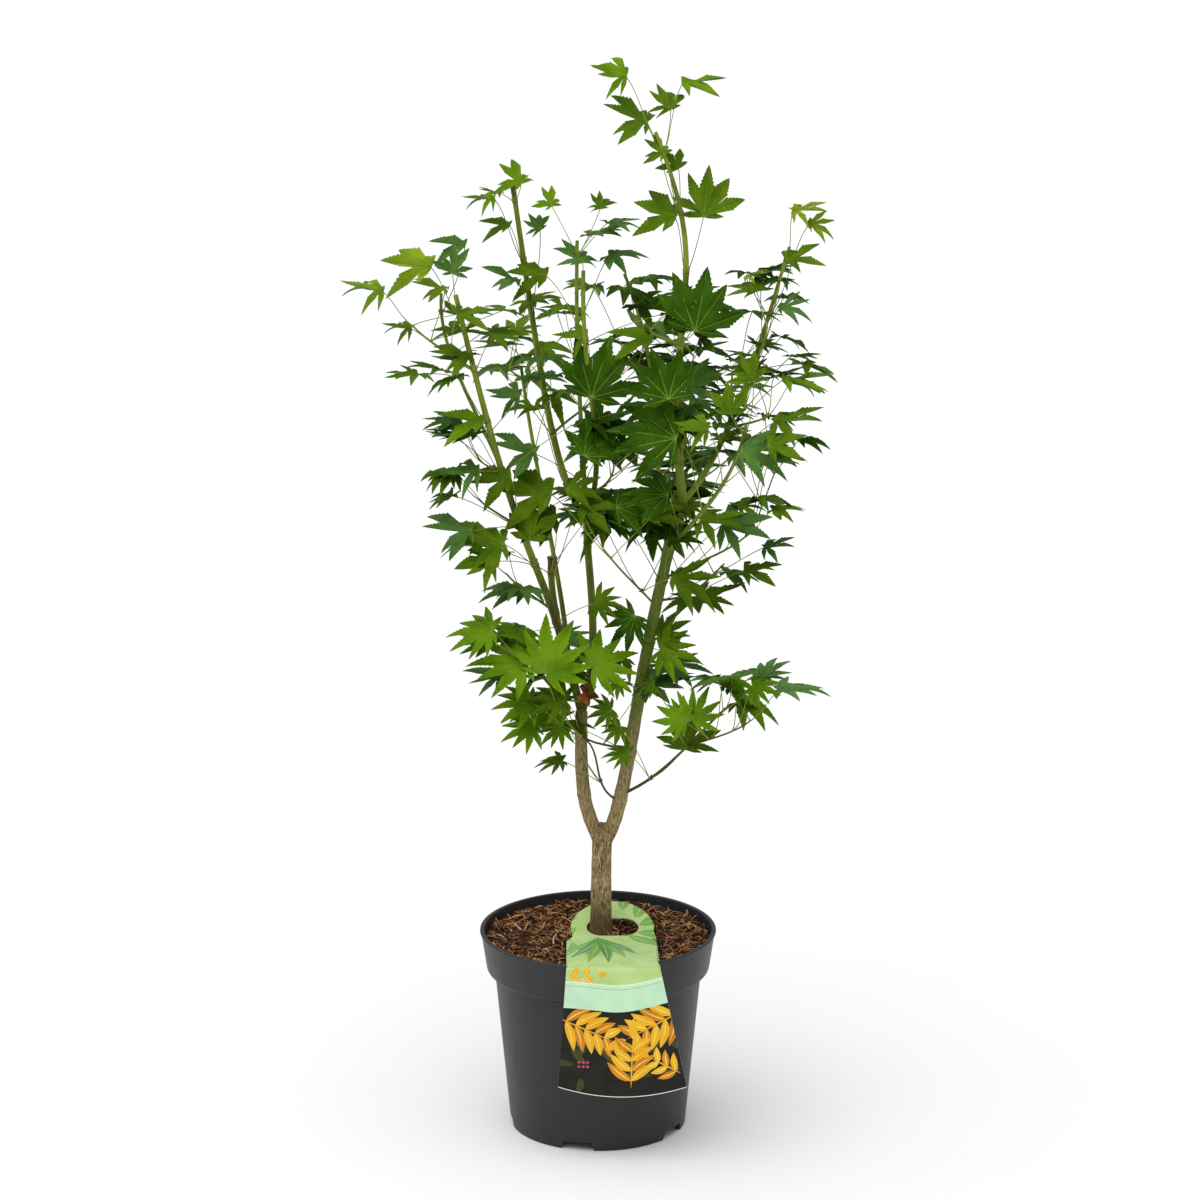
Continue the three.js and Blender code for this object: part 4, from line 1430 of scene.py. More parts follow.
@dataclass
class Framework:
    """All the limbs, and the meshes of their bark, skins, rings, buds and cut ends."""

    limbs: dict[str, Limb] = field(default_factory=dict)
    voxel: float = 0.85
    soften_steps: int = 6
    bark_step: float = 1.6
    bough_step: float = 2.2
    ring_sides: int = 14
    smooth_below: float = 330
    cut_limbs: tuple[str, str] = ("tall_stub", "left_stub")
    tubes: TubeTool = field(default_factory=TubeTool)

    def __post_init__(self) -> None:
        """Lays out every limb in order, parents first."""
        for limb in LIMBS:
            limb.lay(self.limbs)
            self.limbs[limb.name] = limb

    def lines(self, name: str, strokes: Sequence[Stroke], finish: GreenStem, sides: int,
              nodes: Sequence[str] = ()) -> None:
        """Builds and settles one piece of joined tubes, which replaces the CAD nodes."""
        piece = self.tubes.run(name, stroke_mesh(name, strokes), finish, Sides=sides)
        settle(piece, nodes)

    def build(self) -> None:
        """Builds the woody stems, the green boughs and their details."""
        self._woody()
        green = [limb for limb in self.limbs.values() if limb.skin is Skin.GREEN]
        skin = GreenStem("green_stem_skin", "586c1a", "86982e", woody="5a5626")
        strokes = [limb.stroke(self.bough_step) for limb in green]
        self.lines("green_boughs", strokes, skin, 14, [limb.name for limb in green])
        self._rings_and_buds()
        self._cut_ends()

    def _woody(self) -> None:
        """Joins the bark-covered stems, fuses their forks and gives them their relief."""
        woody = [limb for limb in self.limbs.values() if limb.skin is Skin.BARK]
        mesh = stroke_mesh("woody_stems", [self._domed(limb) for limb in woody])
        stems = self.tubes.run("woody_stems", mesh, Bark(), Sides=28)
        bark = stems.data.materials[0]
        fuse = stems.modifiers.new("fuse", "REMESH")
        fuse.mode = "VOXEL"
        fuse.voxel_size = self.voxel * MM
        fuse.use_smooth_shade = True
        soften = stems.modifiers.new("soften", "SMOOTH")
        soften.iterations = self.soften_steps
        plain(stems)
        self._relief(stems.data)
        stems.data.materials.clear()
        stems.data.materials.append(bark)
        settle(stems, [limb.name for limb in woody])

    def _domed(self, limb: Limb) -> Stroke:
        """Rounds a limb's end, so that a thinner bough grows out of a shoulder.

        Args:
            limb: a woody limb.

        Returns:
            Its stroke with the rounded end.
        """
        stroke = limb.stroke(self.bark_step)
        tip, axis, radius = limb.point(1), limb.heading(1), stroke.radii[-1]
        shoulder = ((0.3, 0.94), (0.6, 0.8), (0.85, 0.55)) if limb.parent else ((0.18, 0.88), (0.36, 0.62))
        for rise, share in shoulder:
            stroke.points.append(tip + axis * radius * rise)
            stroke.radii.append(radius * share)
        return stroke

    def _relief(self, mesh: Mesh) -> None:
        """Raises the bark's ridges, lumps and pores; the foot stays level.

        Args:
            mesh: the fused stems.
        """
        normals = np.array([vertex.normal[:] for vertex in mesh.vertices])
        points = np.array([vertex.co[:] for vertex in mesh.vertices]) / MM
        foot = points[:, 2].min()
        for index, (x, y, z) in enumerate(points):
            age = 1 - smooth(300, 480, z) * 0.7
            ridge = noise.noise(Vector((x * 0.55, y * 0.55, z * 0.07)))
            lump = noise.noise(Vector((x * 0.12, y * 0.12, z * 0.09)))
            pore = noise.noise(Vector((x * 1.1, y * 1.1, z * 0.45)))
            rise = (0.34 * ridge + 0.16 * max(0.0, pore)) * age + 0.35 * lump
            points[index] += normals[index] * rise * smooth(0, 3, z - foot)
        mesh.vertices.foreach_set("co", (points * MM).ravel())
        mesh.update()

    def _rings_and_buds(self) -> None:
        """Rings each node with a scar and a pair of small buds; the old bark low down has none."""
        scars = []
        buds = []
        for limb in self.limbs.values():
            if limb.parent is None:
                continue
            for index, share in enumerate(limb.joints()):
                centre, axis = limb.point(share), limb.heading(share)
                if limb.skin is Skin.BARK and centre.z < self.smooth_below:
                    continue
                radius = limb.radius(share)
                side = axis.orthogonal().normalized()
                if index % 2:
                    side = axis.cross(side)
                across = axis.cross(side)
                if limb.skin is not Skin.TWIG:
                    loop = []
                    for step in range(self.ring_sides + 1):
                        turn = step * 2 * pi / self.ring_sides
                        wave = axis * 0.5 * cos(2 * turn)
                        round_about = side * cos(turn) + across * sin(turn)
                        loop.append(centre + wave + round_about * radius)
                    scars.append(Stroke(loop, [0.16 + 0.03 * radius] * len(loop)))
                for way in (1, -1):
                    foot = centre + side * way * radius * 0.85 + axis * 0.6
                    lean = (axis + side * way * 0.45).normalized()
                    size = 0.55 + 0.1 * radius
                    spots = [foot + lean * size * k for k in (0, 1.1, 2.2, 3.4, 4.2)]
                    buds.append(Stroke(spots, [size * k for k in (0.6, 1.0, 0.9, 0.5, 0.08)]))
        self.lines("node_scars", scars, GreenStem("node_scars", "4a3a1c", "6b5628", mixing=0.9), 5)
        self.lines("buds", buds, GreenStem("buds", "5f4a22", "8d8a38", mixing=0.6), 6)

    def _cut_ends(self) -> None:
        """Caps the two cut stubs with a dry, slightly flared end and a ring of pale wood."""
        rinds = []
        woods = []
        for name in self.cut_limbs:
            limb = self.limbs[name]
            tip, axis = limb.point(1), limb.heading(1)
            radius = limb.thick[1] / 2
            marks = (-9, -5, -1, 1.5, 3.0, 3.4)
            sizes = (0.98, 1.08, 1.12, 1.28, 1.5, 1.3)
            rinds.append(Stroke([tip + axis * mark for mark in marks], [radius * size for size in sizes]))
            woods.append(Stroke([tip + axis * mark for mark in (2.0, 3.5, 3.9)], [radius * 1.05] * 3))
        self.lines("dry_stub_rinds", rinds, GreenStem("dry_rind", "4b3a22", "7a6138", mixing=0.9), 14)
        self.lines("cut_wood_ends", woods, GreenStem("cut_wood", "8d7448", "b59d6c", mixing=0.9), 14)


# ---- leaves ----


@dataclass(frozen=True)
class BladeShape:
    """One leaf blade with pointed, toothed lobes round its joint, heading along +X and facing +Z."""

    seed: int
    lobes: int = 9
    radius: float = 40
    spread: float = 112
    wide: float = 0.155
    cleft: float = 0.42
    teeth: int = 2
    fold: float = 0.35
    droop: float = 0.14
    cup: float = 0.05
    skew: float = 0.08
    wild: float = 0.4

    def _lobes(self) -> list[tuple[float, float, float, float, float]]:
        """Draws the lobes, from the right side round to the left.

        Returns:
            Angle, length, twist, lift and curl of each.
        """
        rng = random.Random(self.seed)
        half = self.lobes // 2
        out = []
        for index in range(-half, half + 1):
            share = abs(index) / half
            length = self.radius * (1 - 0.12 * share - 0.4 * share ** 3.5)
            length *= rng.uniform(0.98 - 0.26 * self.wild, 1.04)
            angle = copysign(share ** 1.04, index) * self.spread + rng.uniform(-4, 4)
            twist = rng.uniform(-1, 1) * self.skew
            lift = rng.uniform(-0.3, 0.3) * self.wild
            out.append((radians(angle), length, twist, lift, rng.uniform(-0.1, 0.3) * self.wild))
        return out

    def _height(self, x: float, y: float) -> float:
        """How high the blade lies there: it is cupped a little and droops to its tips."""
        far, side = hypot(x, y) / self.radius, y / self.radius
        return -self.radius * (self.droop * far ** 2.4 + self.cup * (side ** 2 - 0.3 * far))

    def corners(self) -> tuple[list[Point], list[list[int]]]:
        """The upper face's points.

        Returns:
            The points, and for each lobe its point numbers: hub, ribs, tip, right edge, left edge.
        """
        lobes = self._lobes()
        points: list[Point] = [(0, 0, 0)]

        def add(x: float, y: float, rise: float) -> int:
            """Adds a point, so much above the blade's own height, and gives its number."""
            points.append((x, y, self._height(x, y) + rise))
            return len(points) - 1

        gates = []
        for first, second in zip(lobes, lobes[1:]):
            angle = (first[0] + second[0]) / 2
            reach = self.cleft * min(first[1], second[1])
            gates.append(add(reach * cos(angle), reach * sin(angle), 0.05 * self.radius))
        ends = []
        for sign, lobe in ((-1, lobes[0]), (1, lobes[-1])):
            angle = lobe[0] + sign * radians(22)
            ends.append(add(0.2 * lobe[1] * cos(angle), 0.2 * lobe[1] * sin(angle), 0))
        gates = [ends[0], *gates, ends[1]]
        marks = [0.6 + 0.36 * k / self.teeth for k in range(self.teeth)]
        ribs = [0.45, *(mark - 0.06 + 0.12 / self.teeth for mark in marks[1:])]
        edge = []
        for mark in marks:
            half = self.wide * (1 - ((mark - 0.6) / 0.42) ** 1.05)
            edge += [(mark, half), (mark + 0.14 / self.teeth, half * (0.62 if self.teeth < 3 else 0.74))]
        rows = []
        for index, (angle, length, twist, lift, curl) in enumerate(lobes):
            ahead = (cos(angle), sin(angle))

            def spot(share: float, half: float) -> int:
                """Adds a point of this lobe.

                Args:
                    share: how far along it lies, as a share of the length.
                    half: how far across, likewise.

                Returns:
                    The point's number.
                """
                along, across = share * length, half * length
                rise = self.fold * abs(across) + twist * across * 2
                rise += length * (lift * share ** 1.5 - curl * share ** 3.5)
                x = along * ahead[0] - across * ahead[1]
                return add(x, along * ahead[1] + across * ahead[0], rise)

            row = [0, *(spot(share, 0) for share in ribs), spot(1.0, 0)]
            for side, gate in ((-1, gates[index]), (1, gates[index + 1])):
                row += [gate, *(spot(share, side * half) for share, half in edge)]
            rows.append(row)
        return points, rows

    def upper_faces(self, rows: list[list[int]]) -> list[Face]:
        """The faces of the upper side, out along each half of each lobe.

        Args:
            rows: each lobe's point numbers.

        Returns:
            The faces.
        """
        faces = []
        count = self.teeth
        for row in rows:
            hub, ribs, tip = row[0], row[1:count + 1], row[count + 1]
            for side in (0, 1):
                gate, *edge = row[count + 2 + side * (2 * count + 1):][:2 * count + 1]
                half = [(hub, gate, ribs[0]), (ribs[0], gate, edge[0], ribs[min(1, count - 1)])]
                for k in range(1, count):
                    out, dent, after = edge[2 * k - 2:2 * k + 1]
                    half.append((ribs[k], out, dent, after))
                    if k < count - 1:
                        half.append((ribs[k], after, ribs[k + 1]))
                half.append((ribs[-1], edge[-2], edge[-1], tip))
                faces.extend(turned(face) if side else face for face in half)
        return faces

    def meshes(self) -> tuple[Mesh, Mesh, Mesh]:
        """Builds the blade's meshes.

        Returns:
            The upper face, the underside and the raised ribs.
        """
        points, rows = self.corners()
        faces = self.upper_faces(rows)
        ribs = {corner for row in rows for corner in row[:self.teeth + 2]}
        inner = ribs - {row[self.teeth + 1] for row in rows}
        sunk = [(x, y, z - (0.5 if index in inner else 0.05)) for index, (x, y, z) in enumerate(points)]
        upper = mesh_of("blade_upper", points, faces)
        under = mesh_of("blade_under", sunk, [turned(face) for face in faces])
        for mesh in (upper, under):
            pairs = np.zeros(len(mesh.edges) * 2, int)
            mesh.edges.foreach_get("vertices", pairs)
            flags = np.isin(pairs.reshape(-1, 2), sorted(ribs)).all(axis=1)
            sharp = mesh.attributes.new("sharp_edge", "BOOLEAN", "EDGE")
            sharp.data.foreach_set("value", flags)
        return upper, under, self._ribs(points, rows)

    def _ribs(self, points: list[Point], rows: list[list[int]]) -> Mesh:
        """Thin raised strips along the lobes' ribs, narrowing to the tips.

        Args:
            points: the upper face's points.
            rows: each lobe's point numbers.

        Returns:
            The strips' mesh.
        """
        strips = []
        faces = []
        for row in rows:
            hub, low, tip = (Vector(points[row[k]]) for k in (0, 1, self.teeth + 1))
            high = Vector(points[row[self.teeth]])
            across = Vector((-tip.y, tip.x, 0)).normalized()
            start = len(strips)
            for spot, half in ((hub, 0.34), (low, 0.24), (high, 0.16), (high.lerp(tip, 0.7), 0.06)):
                lifted = spot + Vector((0, 0, 0.06 + (self.fold + 0.25) * half))
                strips += [lifted - across * half, lifted + across * half]
            faces += [(start + k, start + k + 2, start + k + 3, start + k + 1) for k in (0, 2, 4)]
        return mesh_of("blade_ribs", strips, faces)


class Tone(Enum):
    """The leaf colours that are dealt out by spray."""

    # DARK is painted shade: a darker green for the leaves deep in the crown, where shade falls.
    DARK = Blade("dark_leaf", "2c4a08", "3a5f0c")
    MID = Blade("green_leaf", "4d6a0c", "607f12")
    # FRESH is partly the light green of fresh leaves and partly painted light, for the low left side where
    # the crown shades little.
    FRESH = Blade("fresh_leaf", "577c0c", "6c9112")
    LIME = Blade("young_leaf", "6a8818", "8aa022")
    BLUE = Blade("dusky_leaf", "446828", "587e3c")


@dataclass
class Leaf:
    """One leaf: the place of its joint, its facing, its size, its blade shape and its tone."""

    joint: Vector
    facing: Matrix
    radius: float
    shape: int
    tone: Tone
    droop: float = 1.0


@dataclass
class StemNode:
    """A place on a limb or twig that can bear leaf stalks."""

    place: Vector
    axis: Vector
    radius: float
    order: int = 0
    leaves: int = 0


AIRY = {
    0.0: "left_tip right_tip leader_top",
    0.12: "right_tier right_skirt twig_side",
    0.25: "right_drop right_low left_skirt twig_end",
    0.4: "left_base front_fan left_top stub_top left_hem centre_upper centre_top stub_middle",
    0.6: "left_upper left_middle left_spread left_wide left_drop stub_lower rear_left leader_upper "
         "leader_foot right_front right_upper",
    0.8: "centre_low right_middle right_lower",
}
LEAVES_PER_BULK = 0.0094
YOUNG = ("leader_top", "right_tip", "stub_top", "left_top", "left_tip")


@dataclass(frozen=True)
class LeafMass:
    """One packed leaf mass: the box that its sprays fill, and how they look."""

    name: str
    centre: Vector
    half: Vector

    @property
    def young(self) -> bool:
        """Whether the mass is a shoot's sparse young tip."""
        return self.name.removesuffix("_leaves") in YOUNG

    @property
    def count(self) -> int:
        """How many leaves fill it."""
        bulk = (self.half.x * self.half.y * self.half.z) ** (2 / 3)
        plain_name = self.name.removesuffix("_leaves")
        share = next((share for share, names in AIRY.items() if plain_name in names.split()), 1.0)
        return round(bulk * LEAVES_PER_BULK * share)

    @property
    def sizes(self) -> Flat:
        """The smallest and largest leaf: large low down and inside, small at the top and the left."""
        if self.young:
            return (22, 29)
        low = float(1 - smooth(400, 560, self.centre.z))
        inner = float(1 - smooth(20, 110, abs(self.centre.x - 40)))
        size = 29 + 7 * low + 5 * inner
        return (size - 4, size + 5)

    @property
    def lean(self) -> float:
        """How far its leaves turn their faces from the sky to the front."""
        side = float(smooth(40, 120, abs(self.centre.x - 30)))
        heart = float((1 - smooth(20, 80, abs(self.centre.x - 45))) * (1 - smooth(-30, 40, self.centre.y)))
        return 0.04 - 0.1 * side + 0.2 * heart - 0.12 * float(smooth(20, 100, self.centre.y))


DARK, MID, FRESH, LIME, BLUE = Tone
SHOW_LEAVES: list[tuple[Point, float, float, float, Tone]] = [
    # the leader
    ((22, -8, 854), 166, 0.4, 36, FRESH), ((64, -10, 849), 12, 0.1, 38, FRESH),
    ((38, -10, 819), 152, 0.28, 40, MID), ((56, -14, 829), 104, 0.45, 31, MID),
    ((62, -18, 784), 118, 0.5, 22, MID), ((51, -24, 796), 128, 0.4, 22, MID),
    ((81, -26, 748), 82, 0.72, 50, MID), ((60, -26, 748), 152, 0.42, 38, MID),
    # the tall stub and the centre
    ((-60, 66, 758), 118, 0.35, 28, FRESH), ((-81, 60, 748), 170, 0.05, 32, FRESH),
    ((-69, 66, 725), 146, 0.15, 28, MID), ((-36, 50, 743), 105, 0.45, 20, FRESH),
    ((-45, 56, 723), 120, 0.55, 22, BLUE), ((-40, 60, 686), 165, 0.25, 36, MID),
    ((-63, 50, 684), 150, 0, 34, BLUE), ((2, 10, 748), 92, 0.4, 22, MID),
    # the left boughs
    ((-127, -45, 713), 154, 0.28, 44, LIME), ((-111, -52, 709), 86, 0.64, 25, BLUE),
    ((-164, -45, 694), 176, 0.1, 42, LIME), ((-102, 0, 722), 160, 0.15, 32, BLUE),
    ((-117, -30, 693), 172, 0.05, 30, LIME), ((-143, -40, 664), 166, 0.1, 29, MID),
    ((-108, -56, 678), 15, 0.25, 32, MID), ((-73, -46, 495), 190, 0.4, 44, MID),
    ((-82, -50, 482), 206, 0.4, 38, FRESH), ((-53, -40, 496), 84, 0.6, 36, MID),
    ((-98, -48, 506), 178, 0.2, 42, BLUE), ((-92, -50, 554), 178, 0.15, 42, BLUE),
    ((-36, -30, 531), 166, 0.38, 48, MID), ((-49, -12, 559), 184, 0.22, 40, BLUE),
    ((-61, 8, 600), 154, 0.3, 35, BLUE), ((-88, -50, 593), 178, 0.12, 40, FRESH),
    ((-97, -45, 643), 180, 0.1, 36, MID), ((-33, -20, 510), 202, 0.32, 38, DARK),
    ((-67, -38, 546), 196, 0.3, 36, MID),
    # the right bough
    ((152, 44, 741), 34, 0.15, 30, LIME), ((164, 44, 730), 18, 0.35, 27, LIME),
    ((147, 30, 704), 50, 0.25, 34, MID), ((115, 20, 693), 10, 0, 20, LIME),
    ((141, 24, 667), 10, 0.2, 32, BLUE), ((144, 10, 613), 20, 0, 44, FRESH),
    ((137, -10, 584), 8, 0.12, 44, MID), ((108, -118, 586), -10, 0.35, 46, BLUE),
    ((100, -122, 615), 92, 0.75, 27, MID), ((118, -104, 636), 112, 0.6, 26, MID),
    ((83, -134, 606), 160, 0.3, 34, MID), ((128, -128, 592), 6, 0.3, 34, MID),
    ((96, -40, 509), 2, 0.4, 44, BLUE), ((57, -54, 470), -14, 0.3, 48, MID),
    ((114, -24, 468), -8, 0.2, 34, MID), ((130, -18, 485), 10, 0.15, 28, BLUE),
    # the core, facing the front; their DARK tone is painted shade
    ((74, -66, 667), 78, 0.8, 50, DARK), ((54, -70, 615), 100, 0.74, 46, DARK),
    ((-5, -60, 614), 74, 0.78, 50, DARK), ((60, -74, 585), 160, 0.45, 58, DARK),
    ((42, -34, 654), 150, 0.12, 40, MID), ((66, -40, 617), 50, 0.8, 34, BLUE),
    ((-8, -50, 661), 182, 0.2, 34, MID), ((54, -72, 540), 158, 0.35, 40, DARK),
    ((79, -60, 517), -14, 0.2, 40, MID), ((39, -66, 519), 62, 0.6, 38, MID),
    ((14, -58, 527), 8, 0.35, 42, DARK), ((-10, -48, 565), 62, 0.52, 38, DARK),
    ((-25, -40, 537), 22, 0.4, 36, MID), ((-14, -46, 525), -24, 0.3, 38, MID),
    # the low fan at the left; its FRESH tone is partly painted light
    ((-82, -58, 428), 178, 0.36, 38, FRESH), ((-56, -62, 403), 174, 0.42, 50, FRESH),
    ((-41, -72, 398), 66, 0.74, 48, FRESH), ((-4, -64, 400), 34, 0.5, 44, FRESH),
    ((-52, -56, 370), 202, 0.45, 33, FRESH), ((-51, -45, 347), 212, 0.5, 30, FRESH),
    ((-25, -58, 372), 182, 0.5, 32, MID), ((-29, -44, 347), 228, 0.6, 24, FRESH),
    ((11, -45, 361), 205, 0.6, 22, MID), ((16, -42, 383), 265, 0.85, 17, MID),
    ((18, -45, 347), 238, 0.5, 20, MID), ((24, -44, 324), 178, 0.3, 24, FRESH),
    # the right stem
    ((29, -30, 433), 232, 0.85, 32, DARK), ((49, -34, 406), -18, 0.5, 36, FRESH),
    ((48, -24, 414), 45, 0.45, 30, MID), ((44, -40, 379), 200, 0.6, 14, MID),
    ((-28, -26, 313), 218, 0.15, 24, MID), ((-2, -36, 445), -12, 0.45, 27, MID),
    # the low right twig
    ((94, -58, 389), 165, -0.35, 26, BLUE), ((105, -58, 391), 128, -0.2, 42, MID),
    ((128, -60, 391), 76, -0.58, 30, BLUE), ((141, -56, 380), -12, -0.35, 44, BLUE),
    ((120, -66, 386), -25, 0.5, 24, FRESH), ((74, -60, 356), 66, 0.85, 32, FRESH),
    ((69, -62, 355), 150, 0.75, 28, FRESH),
]


@dataclass
class Foliage:
    """Twigs, stalks and leaves, grown from the limbs' nodes into every leaf mass by a seeded rule."""

    framework: Framework
    shortest: float = 22
    longest: float = 78
    best_stalk: float = 42
    steepness: float = 0.45
    cost_limit: float = 46
    thinnest_parent: float = 2.2
    bare_stem: float = 300
    axis: Flat = (12, 5)
    middle_share: float = 0.4
    tries: int = 16
    twig_step: float = 7
    node_step: float = 24
    plain_count: int = 12
    low_fan_top: float = 450
    nodes: list[StemNode] = field(default_factory=list)
    twigs: list[Stroke] = field(default_factory=list)
    stalks: list[Stroke] = field(default_factory=list)
    leaves: list[Leaf] = field(default_factory=list)
    owner: dict[str, Tone] = field(default_factory=dict)
    rng: random.Random = field(default_factory=lambda: random.Random(SEED))
    shapes: list[BladeShape] = field(default_factory=list)
    show_spots: list[tuple[Vector, float]] = field(default_factory=list)

    def __post_init__(self) -> None:
        """Takes the limbs' nodes and draws the blade shapes."""
        for limb in self.framework.limbs.values():
            if limb.parent is None:
                continue
            first = self.bare_stem if limb.skin is Skin.BARK else 0
            for share in limb.joints():
                place = limb.point(share)
                order = 3 if limb.thick[0] < self.thinnest_parent else 0
                if place.z > first:
                    self.nodes.append(StemNode(place, limb.heading(share), limb.radius(share), order))
        for index in range(self.plain_count):
            lobes = 7 if index % 2 else 9
            self.shapes.append(BladeShape(
                SEED + index, lobes,
                spread=118 if lobes == 9 else 100,
                wide=0.14 if lobes == 9 else 0.17,
                cleft=(0.42, 0.48, 0.38)[index % 3],
                fold=(0.35, 0.55, 0.28, 0.45, 0.6, 0.4)[(index + index // 6) % 6],
                droop=(0.04, 0.14, 0.08, 0.2, -0.04, 0.1)[index % 6],
                cup=(0.05, 0.14, -0.08, 0.1, 0.0, -0.04)[(index * 5) % 6],
                wild=(0.4, 0.7, 1.0)[index % 3],
                teeth=4,
            ))
        for index, (lobes, spread, wide, cleft, droop, wild) in enumerate((
            (7, 84, 0.17, 0.38, 0.08, 0.2), (7, 90, 0.165, 0.42, 0.1, 0.35),
            (9, 108, 0.125, 0.47, 0.1, 0.4), (9, 116, 0.12, 0.45, 0.12, 0.5),
            (7, 92, 0.165, 0.34, 0.06, 1.1), (7, 84, 0.15, 0.36, 0.12, 1.3), (5, 74, 0.2, 0.36, 0.1, 1.2),
        )):
            self.shapes.append(BladeShape(
                SEED + 30 + index, lobes, 40, spread, wide, cleft, 5, 0.5, droop, 0.04, wild=wild,
            ))

    # -- growth --

    def grow(self) -> None:
        """Grows the show leaves first and then fills each mass."""
        for joint, clock, lean, radius, tone in SHOW_LEAVES:
            self._show(Vector(joint), clock, lean, radius, tone)
        for name in sorted(frame["nodes"]):
            if name.endswith("_leaves"):
                low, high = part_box(name)
                self._fill(LeafMass(name, (low + high) / 2 / MM, (high - low) / 2 / MM))

    def _show(self, joint: Vector, clock: float, lean: float, radius: float, tone: Tone) -> None:
        """Sets one large leaf at a chosen place.

        Args:
            joint: where the blade meets its stalk.
            clock: the blade's heading as seen from the front, in degrees.
            lean: from 0, facing the sky, to 1, facing the front.
            radius: from the joint to the longest tip.
            tone: its colour.
        """
        tilt = lean * pi / 2
        normal = Vector((self.rng.uniform(-0.15, 0.15), -sin(tilt), cos(tilt))).normalized()
        turn = radians(clock)
        wish = Vector((cos(turn), 0, sin(turn)))
        ahead = (wish - normal * wish.dot(normal)).normalized()
        self.show_spots.append((joint + ahead * radius * self.middle_share, radius))
        node = self._nearest(joint, ahead) or self._twig(joint, ahead)
        turn_by = len(self.show_spots)
        if joint.z < self.low_fan_top:
            shape = 2 + turn_by % 2
        else:
            shape = turn_by % 2 if tone is Tone.DARK else 4 + turn_by % 3
        self._hang(node, joint, ahead, normal, radius, tone, self.plain_count + shape, 1.0)

    def _covers(self, spot: Vector) -> bool:
        """Whether a leaf there would stand in front of a show leaf, as seen from a little above.

        Args:
            spot: the middle of the leaf.

        Returns:
            True if it would.
        """
        for middle, radius in self.show_spots:
            ahead = middle.y + 12 - spot.y
            if ahead > 0:
                across = hypot(spot.x - middle.x, 1.3 * (spot.z - middle.z - 0.22 * ahead))
                if across < radius * 0.62 + 16:
                    return True
        return False

    def _tone(self, mass: LeafMass) -> Tone:
        """Deals out a spray's tone by the part of the plant that it grows in: lighter on the low left side
        as painted light, darker in the crown's high middle as painted shade.

        Args:
            mass: the mass that the spray is in.

        Returns:
            The tone.
        """
        chance = self.rng.random()
        if mass.young:
            return Tone.LIME if chance < 0.45 else Tone.FRESH if chance < 0.85 else Tone.BLUE
        # This share marks the low left of the plant, whose leaves get the FRESH tone as painted light.
        lit_share = float(1 - smooth(-60, 40, mass.centre.x)) * float(1 - smooth(380, 520, mass.centre.z))
        # This share marks the crown's high middle, whose leaves get the DARK tone as painted shade.
        core = float(1 - smooth(40, 110, abs(mass.centre.x - 45))) * float(smooth(440, 560, mass.centre.z))
        if chance < 0.75 * lit_share:
            return Tone.FRESH
        if chance < 0.75 * lit_share + 0.5 * core:
            return Tone.DARK
        if chance > 0.93:
            return Tone.FRESH
        return Tone.BLUE if chance > 0.72 else Tone.MID

    def _targets(self, mass: LeafMass) -> list[Vector]:
        """Finds well-spread places for leaves inside a mass.

        Args:
            mass: the mass.

        Returns:
            The middles of the blades.
        """
        inset = mass.sizes[1] * 0.42
        reach = Vector([max(8.0, half - inset) for half in mass.half.xy] + [mass.half.z * 0.92])
        chosen = []
        taken = [leaf.joint for leaf in self.leaves]
        for _ in range(mass.count):
            best, best_room = None, 0.0
            for _ in range(self.tries):
                spot = Vector([self.rng.uniform(-1, 1) for _ in range(3)])
                if sum(abs(part) ** 3 for part in spot) > 1:
                    continue
                spot = mass.centre + Vector((spot.x * reach.x, spot.y * reach.y, spot.z * reach.z))
                if self._covers(spot):
                    continue
                room = min((self._room(spot, other) for other in chosen + taken), default=50.0)
                if room > best_room:
                    best, best_room = spot, room
            if best is not None:
                chosen.append(best)
        return chosen

    @staticmethod
    def _room(first: Vector, second: Vector) -> float:
        """The distance between two blades, with height counting double as they lie flat."""
        gap = first - second
        return sqrt(gap.x ** 2 + gap.y ** 2 + 4 * gap.z ** 2)

    def _fill(self, mass: LeafMass) -> None:
        """Grows the sprays of one mass.

        Args:
            mass: the mass.
        """
        tone = self._tone(mass)
        tones = []
        for index, target in enumerate(sorted(self._targets(mass), key=lambda spot: spot.z)):
            if index % 3 == 0:
                tone = self._tone(mass)
            tones.append(tone)
            radius = self.rng.uniform(*mass.sizes)
            out = (target.xy - Vector(self.axis)).to_3d()
            stem = self._stem_near(target)
            away = (target - stem).xy.to_3d()
            wish = away.normalized() * 0.9 + out.normalized() * 0.5
            wish.rotate(Matrix.Rotation(self.rng.gauss(0, 0.5), 3, "Z"))
            wish.normalize()
            dip = self.rng.gauss(0.02, 0.16)
            face = Vector((self.rng.gauss(0, 0.17), -mass.lean + self.rng.gauss(0, 0.17), 1)) + wish * dip
            normal = face.normalized()
            ahead = (wish - normal * wish.dot(normal)).normalized()
            joint = target - ahead * radius * self.middle_share
            node = self._nearest(joint, wish) or self._twig(joint, wish)
            shape = self.rng.randrange(self.plain_count)
            if mass.young:
                shape = self.plain_count + 4 + shape % 3
            self._hang(node, joint, ahead, normal, radius, tone, shape, self.rng.uniform(0.6, 1.3))
        self.owner[mass.name] = Tone.LIME if mass.young else max(Tone, key=tones.count)

    def _stem_near(self, spot: Vector) -> Vector:
        """The nearest node's place, taken level with the spot."""
        return min(self.nodes, key=lambda node: (node.place - spot).length).place

